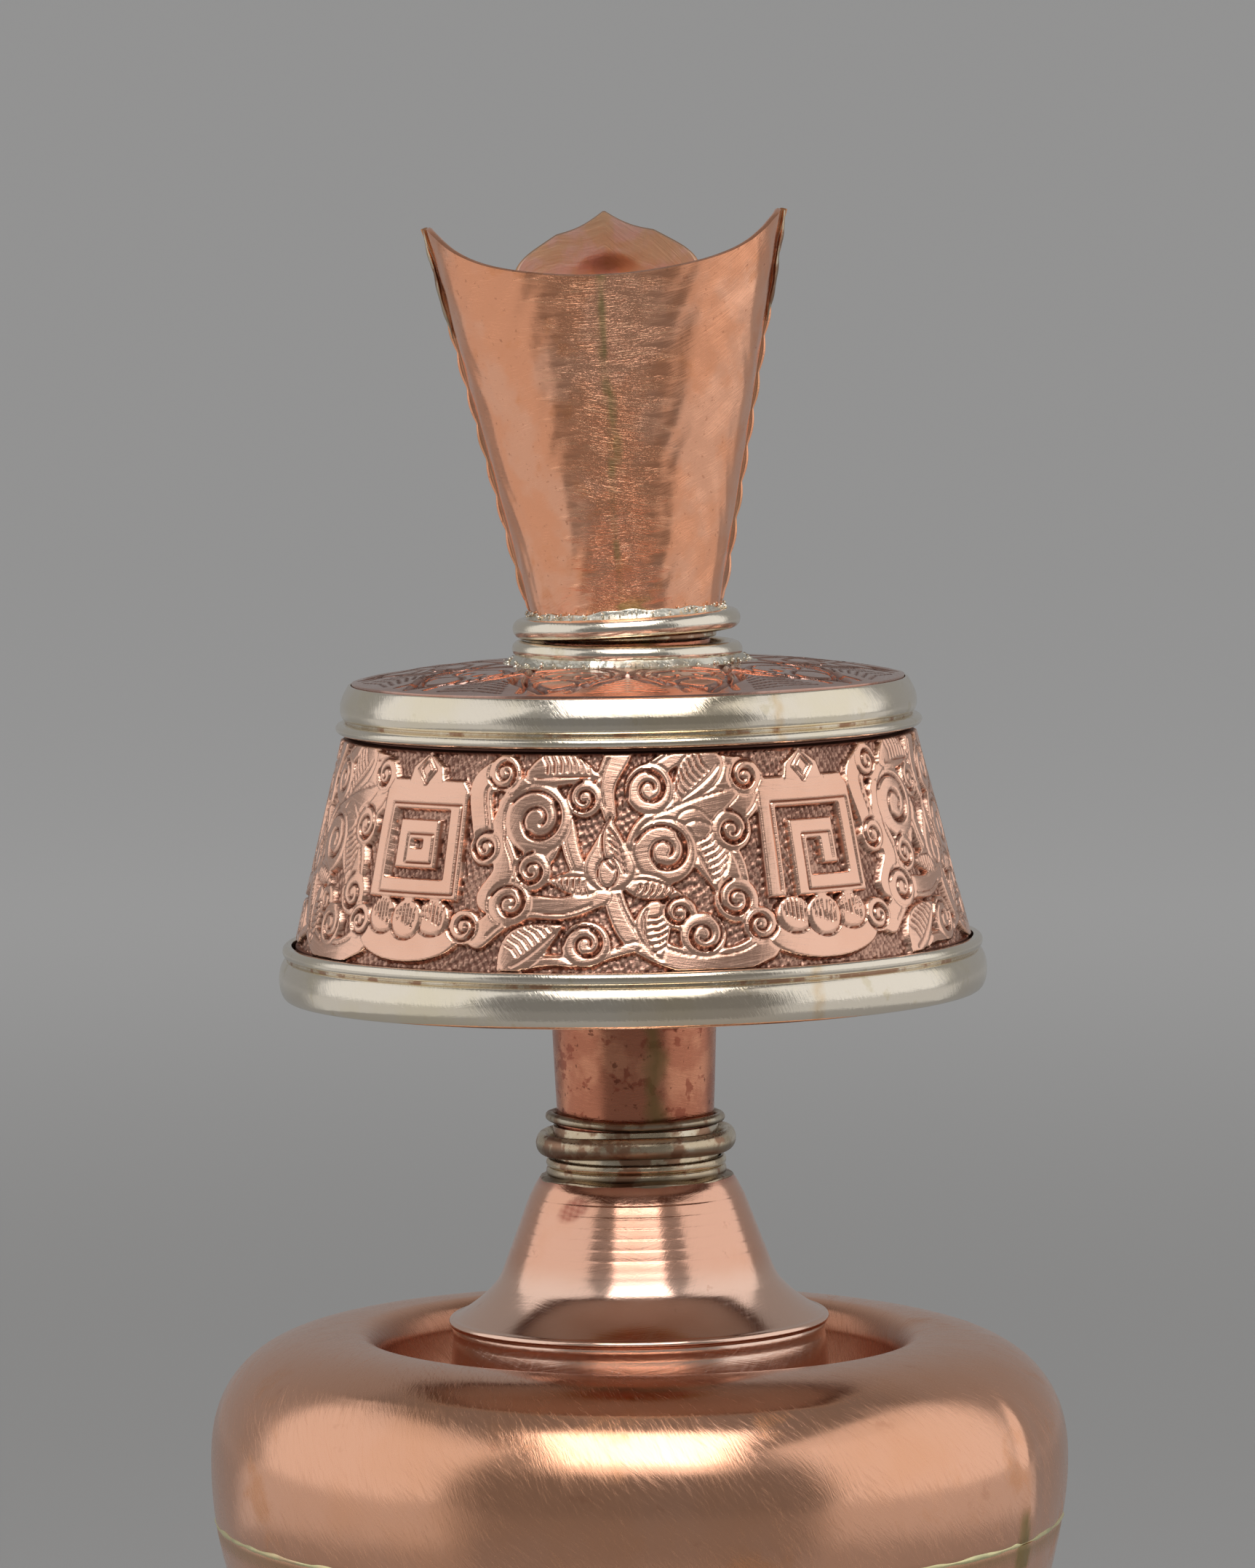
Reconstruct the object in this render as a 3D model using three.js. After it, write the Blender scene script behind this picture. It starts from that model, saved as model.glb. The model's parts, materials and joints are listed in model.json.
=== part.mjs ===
// A Himalayan vase with a prayer drum on its neck, in copper and white metal.
//
// Frame: millimetres, +Z up, the origin in the middle of the face that the foot stands on.
// The plain side of the mouth faces -Y and its leaf plate faces +Y.
//
// The vase stands upright. Everything above its shoulder leans a little towards -X, because the
// neck stands loosely in its collar, and the mouth leans a little more.
import * as THREE from "three";

// Driving dimensions
const BELLY_RADIUS = 55;
const WIDEST_LEVEL = 72; // height of the belly's widest circle
const SEAM_DROP = 7.8; // the belly's braze line, below its widest circle
const SHEET = 1.2; // copper of the belly and the foot
const THIN_SHEET = 1; // copper of the neck, the cone and the drum
const MOUTH_SHEET = 0.8;
const GAP = 0.3; // between pieces that are soldered or rest on each other

const STACK_PIVOT = WIDEST_LEVEL + 15; // the neck leans about this point of the axis
const STACK_LEAN = 1; // degrees
const MOUTH_PIVOT = 91; // above STACK_PIVOT, along the leaning axis
const MOUTH_LEAN = 2.2; // degrees more than the neck

const FOOT_RADIUS = 33.5;
const FOOT_RING_WIDTH = 4;
const FOOT_RING_HEIGHT = 3;
const WAIST_BOTTOM = 22.9;
const WAIST_TOP = 26;
const CONE_RADIUS = 24.4;
const NECK_RADIUS = 10.6;
const DRUM_BOTTOM_RADIUS = 43.24;
const DRUM_TOP_RADIUS = 36.74;
const MOUTH_HALF_WIDTH = 22.6; // at the tips of the horns

// How many flat sides stand for a circle
const LARGE_SIDES = 32;
const SMALL_SIDES = 24;

const degrees = THREE.MathUtils.degToRad;

const FINISHES = {
  copper: { color: 0xc98a70, roughness: 0.35, metalness: 1 },
  spunCopper: { color: 0xb4664a, roughness: 0.25, metalness: 1 },
  chasedCopper: { color: 0xc07f6b, roughness: 0.4, metalness: 1 },
  whiteMetal: { color: 0xcfcaba, roughness: 0.3, metalness: 1 },
  brass: { color: 0xb89a58, roughness: 0.4, metalness: 1 },
  paper: { color: 0xd8cba8, roughness: 0.9, metalness: 0 },
};

function piece(name, geometry, finish) {
  const mesh = new THREE.Mesh(geometry, new THREE.MeshStandardMaterial(FINISHES[finish]));
  mesh.name = name;
  return mesh;
}

// Outlines are lists of [radius, height]. They run up the outside and down the inside.

function turned(outline, sides) {
  const points = outline.map(([radius, height]) => new THREE.Vector2(radius, height));
  points.push(points[0].clone());
  return new THREE.LatheGeometry(points, sides).rotateX(Math.PI / 2);
}

// Points of an ellipse from one angle to another, in degrees from the outward direction.
function arc([radius, height], [across, up], from, to, steps) {
  return Array.from({ length: steps + 1 }, (_, i) => {
    const angle = degrees(from + ((to - from) * i) / steps);
    return [radius + across * Math.cos(angle), height + up * Math.sin(angle)];
  });
}

// Points of a bend that leaves start towards corner and comes into end from it.
function bend(start, corner, end, steps) {
  const curve = new THREE.QuadraticBezierCurve(
    new THREE.Vector2(...start),
    new THREE.Vector2(...corner),
    new THREE.Vector2(...end),
  );
  return curve.getPoints(steps).map((point) => point.toArray());
}

// The outline of bent sheet, from the path of its outer face and its thickness.
function sheet(path, thickness) {
  const inner = path.map(([radius, height], i) => {
    const [r0, h0] = path[Math.max(i - 1, 0)];
    const [r1, h1] = path[Math.min(i + 1, path.length - 1)];
    const length = Math.hypot(r1 - r0, h1 - h0);
    const inward = ((h0 - h1) / length) * thickness;
    const down = ((r1 - r0) / length) * thickness;
    return [radius + inward, height + down];
  });
  return [...path, ...inner.reverse()];
}

function tube(inner, outer, bottom, top) {
  return [
    [outer, bottom],
    [outer, top],
    [inner, top],
    [inner, bottom],
  ];
}

// A ring of half-round wire: flat inside, round outside.
function halfRound(inner, outer, bottom, top, steps = 6) {
  const middle = (bottom + top) / 2;
  const flat = Math.min((outer - inner) / 2, 0.6);
  const bow = arc([inner + flat, middle], [outer - inner - flat, (top - bottom) / 2], -90, 90, steps);
  return [[inner, bottom], ...bow, [inner, top]];
}

function roundWire(centre, height, across, up, steps = 8) {
  return arc([centre, height], [across, up], 0, 360 - 360 / steps, steps - 1);
}

// --- The vase body ---

const BELLY_CORNER = 14; // the lower belly's ellipse starts this far from the axis
const BELLY_DEPTH = 46;
const SHOULDER_CORNER = 36.9; // the shoulder's curve ends this far from the axis
const SHOULDER_RISE = 16.2;
const SHOULDER_SQUARENESS = 2.4; // exponent of the shoulder's superellipse; 2 is round
const WELL_RADIUS = 33.3;
const WELL_FLOOR = 5.2; // above the widest circle
const WELL_HOLE = 13.5;

function lowerBelly(from, to, steps) {
  const size = [BELLY_RADIUS - BELLY_CORNER, BELLY_DEPTH];
  return arc([BELLY_CORNER, WIDEST_LEVEL], size, from, to, steps);
}

function seamAngle() {
  return THREE.MathUtils.radToDeg(Math.asin(SEAM_DROP / BELLY_DEPTH));
}

function bellyLower() {
  const bottomRadius = 18.6;
  const bottomAngle = -THREE.MathUtils.radToDeg(
    Math.acos((bottomRadius - BELLY_CORNER) / (BELLY_RADIUS - BELLY_CORNER)),
  );
  const side = lowerBelly(bottomAngle, -seamAngle(), 6);
  side[side.length - 1][1] -= GAP;
  return turned(sheet([[0, side[0][1]], ...side], SHEET), LARGE_SIDES);
}

function bellyUpper() {
  const power = 2 / SHOULDER_SQUARENESS;
  const steps = 7;
  const shoulder = Array.from({ length: steps + 1 }, (_, i) => {
    const angle = degrees((90 * i) / steps);
    return [
      SHOULDER_CORNER + (BELLY_RADIUS - SHOULDER_CORNER) * Math.cos(angle) ** power,
      WIDEST_LEVEL + SHOULDER_RISE * Math.sin(angle) ** power,
    ];
  });
  const rollDepth = 4;
  const rollCentre = [SHOULDER_CORNER, WIDEST_LEVEL + SHOULDER_RISE - rollDepth];
  const roll = arc(rollCentre, [SHOULDER_CORNER - WELL_RADIUS, rollDepth], 90, 180, 3).slice(1);
  const floor = WIDEST_LEVEL + WELL_FLOOR;
  const well = bend([WELL_RADIUS - 0.8, floor + 4], [31.6, floor], [28, floor], 2);
  const path = [...lowerBelly(-seamAngle(), 0, 2).slice(0, -1), ...shoulder, ...roll, ...well];
  return turned(sheet([...path, [WELL_HOLE, floor]], SHEET), LARGE_SIDES);
}

function footPedestal() {
  const bottom = FOOT_RING_HEIGHT + GAP;
  const top = WAIST_BOTTOM - GAP;
  const edge = [FOOT_RADIUS - 1, bottom + 1.5];
  const flare = bend([FOOT_RADIUS - 1.6, bottom + 2], [18, 8], [16, top - 3], 4);
  return turned(sheet([[edge[0], bottom], edge, ...flare, [16, top]], SHEET), LARGE_SIDES);
}

function vaseBody() {
  const ringInner = FOOT_RADIUS - FOOT_RING_WIDTH;
  const vase = new THREE.Group();
  vase.add(
    piece("foot_base_plate", turned(tube(0, ringInner - GAP, 0, SHEET), LARGE_SIDES), "copper"),
    piece(
      "foot_rim_ring",
      turned(halfRound(ringInner, FOOT_RADIUS, 0, FOOT_RING_HEIGHT), LARGE_SIDES),
      "whiteMetal",
    ),
    piece("foot_pedestal", footPedestal(), "copper"),
    piece("waist_ring", turned(halfRound(14.5, 20.5, WAIST_BOTTOM, WAIST_TOP), SMALL_SIDES), "whiteMetal"),
    piece("belly_lower", bellyLower(), "copper"),
    piece("belly_upper", bellyUpper(), "copper"),
  );
  return vase;
}

// --- The cone and the collar. From here on, heights are above STACK_PIVOT. ---

const CONE_TOP = 21.3;
const SOCKET_BORE = 10.2;
const SOCKET_RADIUS = 10.6;
const COLLAR_BORE = SOCKET_RADIUS + GAP;
const SOCKET_TOP = 28;

function neckCone() {
  const foot = -8.6;
  const lip = 3;
  const path = [
    [CONE_RADIUS - 0.3, foot],
    [CONE_RADIUS - 0.3, lip - 0.8],
    [CONE_RADIUS, lip - 0.3],
    ...bend([CONE_RADIUS - 0.4, lip + 0.2], [20.6, 5], [17.75, 8.3], 2),
    ...bend([14.4, 17.3], [13.6, 19.6], [12.4, CONE_TOP], 2),
  ];
  return turned(sheet(path, THIN_SHEET), LARGE_SIDES);
}

function collar() {
  const bandBottom = CONE_TOP + GAP;
  const bandTop = 23.9;
  const bandBead = (bandTop - bandBottom) / 2;
  const band = [
    [COLLAR_BORE, bandBottom],
    ...arc([11.15, bandBottom + bandBead / 2], [0.35, bandBead / 2], -90, 90, 4),
    ...arc([11.15, bandTop - bandBead / 2], [0.35, bandBead / 2], -90, 90, 4).slice(1),
    [COLLAR_BORE, bandTop],
  ];
  const middleRing = roundWire(11.86, 25.9, 0.95, 1.4);
  const wireRing = roundWire(10.9, 28.95, 0.6, 0.6);
  const group = new THREE.Group();
  group.add(
    piece("neck_cone", neckCone(), "spunCopper"),
    piece(
      "collar_sleeve",
      turned(tube(SOCKET_BORE, SOCKET_RADIUS, 15, SOCKET_TOP), SMALL_SIDES),
      "whiteMetal",
    ),
    piece("collar_lower_band", turned(band, SMALL_SIDES), "whiteMetal"),
    piece("collar_middle_ring", turned(middleRing, SMALL_SIDES), "whiteMetal"),
    piece("collar_wire_ring", turned(wireRing, SMALL_SIDES), "whiteMetal"),
  );
  return group;
}

// --- The neck tube and the seat of the drum ---

const NECK_TOP = 90.2;
const NECK_BORE = NECK_RADIUS - THIN_SHEET;
const RUNNING_BORE = NECK_RADIUS + 0.35; // of the pieces that go round the neck tube
const SEAT_TOP = 48.5;
const WASHER_TOP = 50;

function neck() {
  const path = [
    [9.54, 19],
    [10.53, 40],
    [NECK_RADIUS, 43],
    [NECK_RADIUS, NECK_TOP],
  ];
  const seat = tube(RUNNING_BORE, 13.5, SEAT_TOP - 2, SEAT_TOP);
  const washer = tube(RUNNING_BORE, 13, SEAT_TOP + GAP, WASHER_TOP);
  const group = new THREE.Group();
  group.add(
    piece("neck_tube", turned(sheet(path, THIN_SHEET), SMALL_SIDES), "copper"),
    piece("drum_seat_ring", turned(seat, SMALL_SIDES), "brass"),
    piece("drum_thrust_washer", turned(washer, SMALL_SIDES), "brass"),
  );
  return group;
}

// --- The drum ---

const DRUM_BOTTOM = 45;
const WALL_FOOT = DRUM_BOTTOM + 0.6;
const TAPER_BOTTOM = 52;
const TAPER_TOP = 78;
const RIM_SEAT_RADIUS = 35.3; // of the wall behind the top wires
const LID_EDGE = 85.2; // height of the lid at its edge
const LID_RISE = 2.4;
const LID_HOLE = 11.2;
const FLOOR_BOTTOM = WASHER_TOP + GAP;
const FLOOR_TOP = FLOOR_BOTTOM + THIN_SHEET;
const CORE_BORE = 13;
const CORE_TOP = 86;
const ROLL_RADIUS = 33;

function drumWall() {
  const path = [
    [DRUM_BOTTOM_RADIUS, WALL_FOOT],
    [DRUM_BOTTOM_RADIUS, TAPER_BOTTOM],
    [DRUM_TOP_RADIUS, TAPER_TOP],
    [RIM_SEAT_RADIUS, TAPER_TOP + 0.4],
    [RIM_SEAT_RADIUS, 83.9],
  ];
  return turned(sheet(path, THIN_SHEET), LARGE_SIDES);
}

function drumLid() {
  const steps = 6;
  const edge = RIM_SEAT_RADIUS - 0.05;
  const path = Array.from({ length: steps + 1 }, (_, i) => {
    const radius = edge + ((LID_HOLE - edge) * i) / steps;
    return [radius, LID_EDGE + LID_RISE * (1 - (radius / edge) ** 3)];
  });
  return turned(sheet(path, THIN_SHEET), LARGE_SIDES);
}

function drum() {
  const wireBore = DRUM_BOTTOM_RADIUS + GAP;
  const topBore = RIM_SEAT_RADIUS + GAP;
  const floorRadius = DRUM_BOTTOM_RADIUS - THIN_SHEET - GAP;
  const bushBottom = FLOOR_TOP + GAP;
  const bushHeight = 4.2;
  const bushRadius = CORE_BORE - GAP;
  const parts = [
    ["drum_wall", drumWall(), "chasedCopper"],
    ["drum_top_plate", drumLid(), "chasedCopper"],
    [
      "drum_bottom_plate",
      turned(tube(LID_HOLE, floorRadius, FLOOR_BOTTOM, FLOOR_TOP), LARGE_SIDES),
      "copper",
    ],
    [
      "drum_bottom_rim",
      turned(halfRound(wireBore, 45.26, DRUM_BOTTOM, 50.1), LARGE_SIDES),
      "whiteMetal",
    ],
    ["drum_bottom_bead", turned(halfRound(wireBore, 44.75, 50.4, 51.9, 4), LARGE_SIDES), "whiteMetal"],
    ["drum_top_bead", turned(halfRound(topBore, 37.43, 78.7, 80.3, 4), LARGE_SIDES), "whiteMetal"],
    ["drum_top_rim", turned(halfRound(topBore, 36.79, 80.6, 85), LARGE_SIDES), "whiteMetal"],
    ["drum_collar_ring", turned(roundWire(13.55, 88.95, 1.18, 1.15), SMALL_SIDES), "whiteMetal"],
    [
      "drum_bottom_bush",
      turned(tube(RUNNING_BORE, bushRadius, bushBottom, bushBottom + bushHeight), SMALL_SIDES),
      "brass",
    ],
    [
      "drum_top_bush",
      turned(tube(RUNNING_BORE, bushRadius, CORE_TOP - bushHeight, CORE_TOP), SMALL_SIDES),
      "brass",
    ],
    ["roll_core_tube", turned(tube(CORE_BORE, 13.7, bushBottom, CORE_TOP), SMALL_SIDES), "copper"],
    ["mantra_roll", turned(tube(14, ROLL_RADIUS, bushBottom + 0.7, 82), LARGE_SIDES), "paper"],
  ];
  const group = new THREE.Group();
  group.add(...parts.map((part) => piece(...part)));
  return group;
}

// --- The mouth. Its own heights are above MOUTH_PIVOT. ---

const SHELL_FOOT = 0.9;
const SHELL_FOOT_RADIUS = 11.6;
const HORN_TIP = 52.7;
const BACK_EDGE = 45.7; // the lowest point of the back shell's edge
const BACK_DEPTH = 18; // how far the back shell's top stands out to -Y
const FRONT_DEPTH = 9; // how far the leaf plate's top stands out to +Y
const LEAF_TIP = 53.6;
const LEAF_SHOULDER = 44.5;
const LEAF_HALF_WIDTH = 13;

function grown(height, top) {
  const share = (height - SHELL_FOOT) / (HORN_TIP - SHELL_FOOT);
  return SHELL_FOOT_RADIUS + (top - SHELL_FOOT_RADIUS) * share;
}

function backEdge(across) {
  return BACK_EDGE + (HORN_TIP - BACK_EDGE) * (across ** 2 + across ** 8) * 0.5;
}

function frontEdge(across) {
  const leaf = Math.min(Math.abs(across * MOUTH_HALF_WIDTH) / LEAF_HALF_WIDTH, 1);
  const leafRise = (LEAF_TIP - LEAF_SHOULDER) * (0.62 * Math.sqrt(1 - leaf ** 4) + 0.38 * (1 - leaf) ** 2);
  const horn = Math.max(Math.abs(across) - 0.6, 0) / 0.4;
  return LEAF_SHOULDER + leafRise + (HORN_TIP - LEAF_SHOULDER) * horn ** 2;
}

// Sheet bent round the mouth's axis between two angles. edge gives the height of its top.
function mouthSheet(from, to, depth, edge) {
  const outer = 2;
  const inner = 1;
  const section = new THREE.Shape();
  section.absarc(0, 0, outer, degrees(from), degrees(to), false);
  section.absarc(0, 0, inner, degrees(to), degrees(from), true);
  const geometry = new THREE.ExtrudeGeometry(section, {
    depth: 1,
    steps: 5,
    curveSegments: 12,
    bevelEnabled: false,
  });
  const position = geometry.getAttribute("position");
  for (let i = 0; i < position.count; i += 1) {
    const angle = Math.atan2(position.getY(i), position.getX(i));
    const ring = Math.hypot(position.getX(i), position.getY(i));
    const height = SHELL_FOOT + (edge(Math.cos(angle)) - SHELL_FOOT) * position.getZ(i);
    const inset = (outer - ring) * MOUTH_SHEET;
    position.setXYZ(
      i,
      (grown(height, MOUTH_HALF_WIDTH) - inset) * Math.cos(angle),
      (grown(height, depth) - inset) * Math.sin(angle),
      height,
    );
  }
  return geometry;
}

function hornTrim(name, side) {
  const length = 14;
  const slope = Math.atan((MOUTH_HALF_WIDTH - SHELL_FOOT_RADIUS) / (HORN_TIP - SHELL_FOOT));
  const middle = HORN_TIP - length / 2;
  const trim = piece(name, new THREE.BoxGeometry(0.7, 2.4, length), "whiteMetal");
  trim.position.set(side * (grown(middle, MOUTH_HALF_WIDTH) + 0.75), 0, middle);
  trim.rotation.y = side * slope;
  return trim;
}

function spigot() {
  const outline = [
    [9.25, 78],
    [9.25, NECK_TOP + GAP],
    [11.4, NECK_TOP + GAP],
    [11.4, MOUTH_PIVOT + 0.2],
    [8.4, MOUTH_PIVOT + 0.2],
    [8.4, 78],
  ];
  return piece("mouth_spigot", turned(outline, SMALL_SIDES), "whiteMetal");
}

function mouth() {
  const split = 2; // degrees left open between each sheet's end and the middle plane
  const group = new THREE.Group();
  group.position.z = MOUTH_PIVOT;
  group.rotation.y = -degrees(MOUTH_LEAN);
  group.add(
    piece("mouth_base_ring", turned(roundWire(13.27, 1.25, 1.27, 1.3), SMALL_SIDES), "whiteMetal"),
    piece("mouth_back_shell", mouthSheet(180 + split, 360 - split, BACK_DEPTH, backEdge), "copper"),
    piece("mouth_front_plate", mouthSheet(split, 180 - split, FRONT_DEPTH, frontEdge), "copper"),
    hornTrim("mouth_horn_trim_left", -1),
    hornTrim("mouth_horn_trim_right", 1),
  );
  return group;
}

const stack = new THREE.Group();
stack.position.z = STACK_PIVOT;
stack.rotation.y = -degrees(STACK_LEAN);
stack.add(collar(), neck(), drum(), spigot(), mouth());

const prayerWheel = new THREE.Group();
prayerWheel.add(vaseBody(), stack);

export default prayerWheel;
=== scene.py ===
"""A Himalayan copper vase with a prayer drum on its neck, on a pale floor.

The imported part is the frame. Each of its solids is replaced by a finely turned, bent or chased
piece in the same place. Outlines are in millimetres.
"""

import json
import math

import bmesh
import bpy
import numpy as np
from mathutils import Matrix, Vector


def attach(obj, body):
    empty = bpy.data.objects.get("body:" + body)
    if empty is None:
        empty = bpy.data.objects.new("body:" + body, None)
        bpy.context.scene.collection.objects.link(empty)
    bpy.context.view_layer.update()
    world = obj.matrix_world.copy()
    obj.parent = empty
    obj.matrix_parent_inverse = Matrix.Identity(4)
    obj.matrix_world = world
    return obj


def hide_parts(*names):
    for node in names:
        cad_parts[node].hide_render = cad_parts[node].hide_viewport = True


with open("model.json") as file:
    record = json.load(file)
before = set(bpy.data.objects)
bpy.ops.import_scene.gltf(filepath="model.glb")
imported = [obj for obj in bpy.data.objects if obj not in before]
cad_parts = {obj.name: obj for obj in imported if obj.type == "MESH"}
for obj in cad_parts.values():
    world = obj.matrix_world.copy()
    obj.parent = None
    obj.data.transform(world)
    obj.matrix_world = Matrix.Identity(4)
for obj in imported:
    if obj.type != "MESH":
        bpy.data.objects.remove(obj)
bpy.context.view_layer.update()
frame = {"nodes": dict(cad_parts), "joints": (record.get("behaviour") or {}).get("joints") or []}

MM = 0.001
SPIN = next(joint for joint in frame["joints"] if joint["name"] == "drum_spin")
STACK_AXIS = Vector(SPIN["axis"]).normalized()
STACK_LEAN = math.asin(-STACK_AXIS.x)
HINGE_PLACE = Vector(SPIN["pos_m"]) / MM
STACK_PIVOT = HINGE_PLACE - STACK_AXIS * (HINGE_PLACE.x / STACK_AXIS.x)
MOUTH_LEAN = math.radians(2.2)  # more than the stack
MOUTH_PIVOT = 91.0  # along the stack's axis

UPRIGHT = Matrix.Identity(4)
STACK = Matrix.Translation(STACK_PIVOT) @ Matrix.Rotation(-STACK_LEAN, 4, "Y")
MOUTH = STACK @ Matrix.Translation((0, 0, MOUTH_PIVOT)) @ Matrix.Rotation(-MOUTH_LEAN, 4, "Y")


def extent(node, space):
    """A CAD node's inner radius, outer radius, bottom and top about the upright axis of space."""
    here = np.array(space.inverted())
    points = np.array([vertex.co for vertex in frame["nodes"][node].data.vertices]) / MM
    points = points @ here[:3, :3].T + here[:3, 3]
    radius = np.hypot(points[:, 0], points[:, 1])
    return radius.min(), radius.max(), points[:, 2].min(), points[:, 2].max()


# --- Outlines: lists of (radius, height), up the outside and down the inside ---


def arc(centre, size, start, end, steps):
    """Points of an ellipse between two angles, in degrees from the outward direction."""
    angles = [math.radians(start + (end - start) * i / steps) for i in range(steps + 1)]
    return [(centre[0] + size[0] * math.cos(a), centre[1] + size[1] * math.sin(a)) for a in angles]


def bend(start, corner, end, steps):
    """Points of a bend that leaves start towards corner and comes into end from it."""
    shares = [i / steps for i in range(steps + 1)]
    return [
        tuple((1 - s) ** 2 * a + 2 * s * (1 - s) * b + s * s * c for a, b, c in zip(start, corner, end))
        for s in shares
    ]


def fine(path, spacing):
    """The same path with points no further apart than spacing."""
    points = [path[0]]
    for (r0, h0), (r1, h1) in zip(path, path[1:]):
        steps = max(1, math.ceil(math.hypot(r1 - r0, h1 - h0) / spacing))
        points += [(r0 + (r1 - r0) * i / steps, h0 + (h1 - h0) * i / steps) for i in range(1, steps + 1)]
    return points


def closed(outline, spacing=0.25):
    """A closed outline with points no further apart than spacing."""
    return fine([*outline, outline[0]], spacing)[:-1]


def sheet(path, thickness):
    """The outline of bent sheet, from the path of its outer face."""
    inner = []
    for i, (radius, height) in enumerate(path):
        r0, h0 = path[max(i - 1, 0)]
        r1, h1 = path[min(i + 1, len(path) - 1)]
        length = math.hypot(r1 - r0, h1 - h0)
        inner.append((radius + (h0 - h1) / length * thickness, height + (r1 - r0) / length * thickness))
    return list(path) + inner[::-1]


def tube(inner, outer, bottom, top):
    return [(outer, bottom), (outer, top), (inner, top), (inner, bottom)]


def half_round(inner, outer, bottom, top, steps=16):
    """Half-round wire: flat inside, round outside."""
    flat = min((outer - inner) / 2, 0.6)
    size = (outer - inner - flat, (top - bottom) / 2)
    return [(inner, bottom), *arc((inner + flat, (bottom + top) / 2), size, -90, 90, steps), (inner, top)]


def leaning_round(inner, outer, bottom, top):
    """A wire that is round below and slopes inwards above, as it is filed to meet a lid."""
    level = bottom + (top - bottom) * 0.3
    low = arc((outer - 0.55, level), (0.6, level - bottom), -90, 12, 8)
    high = bend((low[-1][0], low[-1][1] + 0.2), (outer - 0.1, top - 1.6), (inner + 0.15, top - 0.1), 12)
    return [(inner - 0.2, bottom), *low, *high, (inner - 0.2, top)]


def round_wire(inner, outer, bottom, top, steps=24):
    middle, size = ((inner + outer) / 2, (bottom + top) / 2), ((outer - inner) / 2, (top - bottom) / 2)
    return arc(middle, size, 0, 360 - 360 / steps, steps - 1)


def softened(outline, radius=0.15):
    """The outline with each sharp corner cut back a little, as a file would."""
    soft = []
    for i, here in enumerate(outline):
        before, after = outline[i - 1], outline[(i + 1) % len(outline)]
        a, b = np.subtract(before, here), np.subtract(after, here)
        la, lb = np.hypot(*a), np.hypot(*b)
        if here[0] < 0.01 or la < 1e-6 or lb < 1e-6 or np.dot(a, b) / (la * lb) < -0.8:
            soft.append(tuple(here))
            continue
        cut = min(radius, la * 0.3, lb * 0.3)
        first, last = here + a / la * cut, here + b / lb * cut
        soft += [tuple(first), tuple((first + last) / 2 * 0.6 + np.array(here) * 0.4), tuple(last)]
    return soft


def ramp(low, high, value):
    """0 below low, 1 above high, and a smooth rise between them."""
    share = np.clip((value - low) / (high - low), 0, 1)
    return share * share * (3 - 2 * share)


# --- Making a mesh from rows of points ---


def grid_piece(name, rows, flat, space, ring=True, values=None, sharp=40):
    """A closed piece from rows of points.

    rows is (row, column, 3) in millimetres, with the rows closing on themselves. flat is
    (row + 1, column + 1, 2): where each corner lies in the unrolled sheet. With ring, the columns
    close on themselves too; without it, each end gets a flat face.
    """
    count, columns = rows.shape[:2]
    turn = np.array(space)
    points = (rows.reshape(-1, 3) @ turn[:3, :3].T + turn[:3, 3]) * MM
    spans = columns if ring else columns - 1
    r, c = np.meshgrid(np.arange(count), np.arange(spans), indexing="ij")
    r1, c1 = (r + 1) % count, (c + 1) % columns
    faces = np.stack([r * columns + c, r * columns + c1, r1 * columns + c1, r1 * columns + c], -1)
    faces = faces.reshape(-1, 4).tolist()
    corners = np.stack([flat[r, c], flat[r, c + 1], flat[r + 1, c + 1], flat[r + 1, c]], 2)
    corners = corners.reshape(-1, 2)
    if not ring:
        for column in (0, columns - 1):
            edge = (np.arange(count) * columns + column).tolist()
            faces.append(edge if column == 0 else edge[::-1])
            corners = np.vstack([corners, np.zeros((count, 2))])
    mesh = bpy.data.meshes.new(name)
    mesh.from_pydata(points.tolist(), [], faces)
    mesh.uv_layers.new(name="metric").data.foreach_set("uv", corners.astype(np.float32).ravel())
    for key, value in (values or {}).items():
        spread = np.broadcast_to(value, (count, columns)).astype(np.float32).ravel()
        mesh.attributes.new(key, "FLOAT", "POINT").data.foreach_set("value", spread)
    return finished(name, mesh, sharp)


def finished(name, mesh, sharp=40):
    """Closes the poles, turns the faces outwards and shades smooth between sharp edges."""
    work = bmesh.new()
    work.from_mesh(mesh)
    bmesh.ops.remove_doubles(work, verts=work.verts, dist=2e-6)
    bmesh.ops.recalc_face_normals(work, faces=work.faces)
    work.to_mesh(mesh)
    work.free()
    mesh.polygons.foreach_set("use_smooth", [True] * len(mesh.polygons))
    mesh.set_sharp_from_angle(angle=math.radians(sharp))
    piece = bpy.data.objects.new(name, mesh)
    bpy.context.scene.collection.objects.link(piece)
    return piece


def place(piece, body, finish, *nodes):
    """Gives a piece its metal, puts it under what it moves with, and hides the CAD nodes it stands for."""
    material, slot = FINISHES[finish]
    piece.data.materials.clear()
    piece.data.materials.append(material)
    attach(piece, body)
    if nodes:
        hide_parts(*nodes)
    return piece


def waver(angle, height, amount, seed):
    """Slow unevenness of hand-worked metal, in millimetres."""
    random = np.random.default_rng(seed)
    total = np.zeros(np.broadcast(angle, height).shape)
    for turns in (2, 3, 5, 8):
        phase, climb = random.uniform(0, 2 * math.pi, 2)
        total = total + np.sin(turns * angle + phase + height * 0.05 * climb) / turns
    return total * amount


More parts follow.
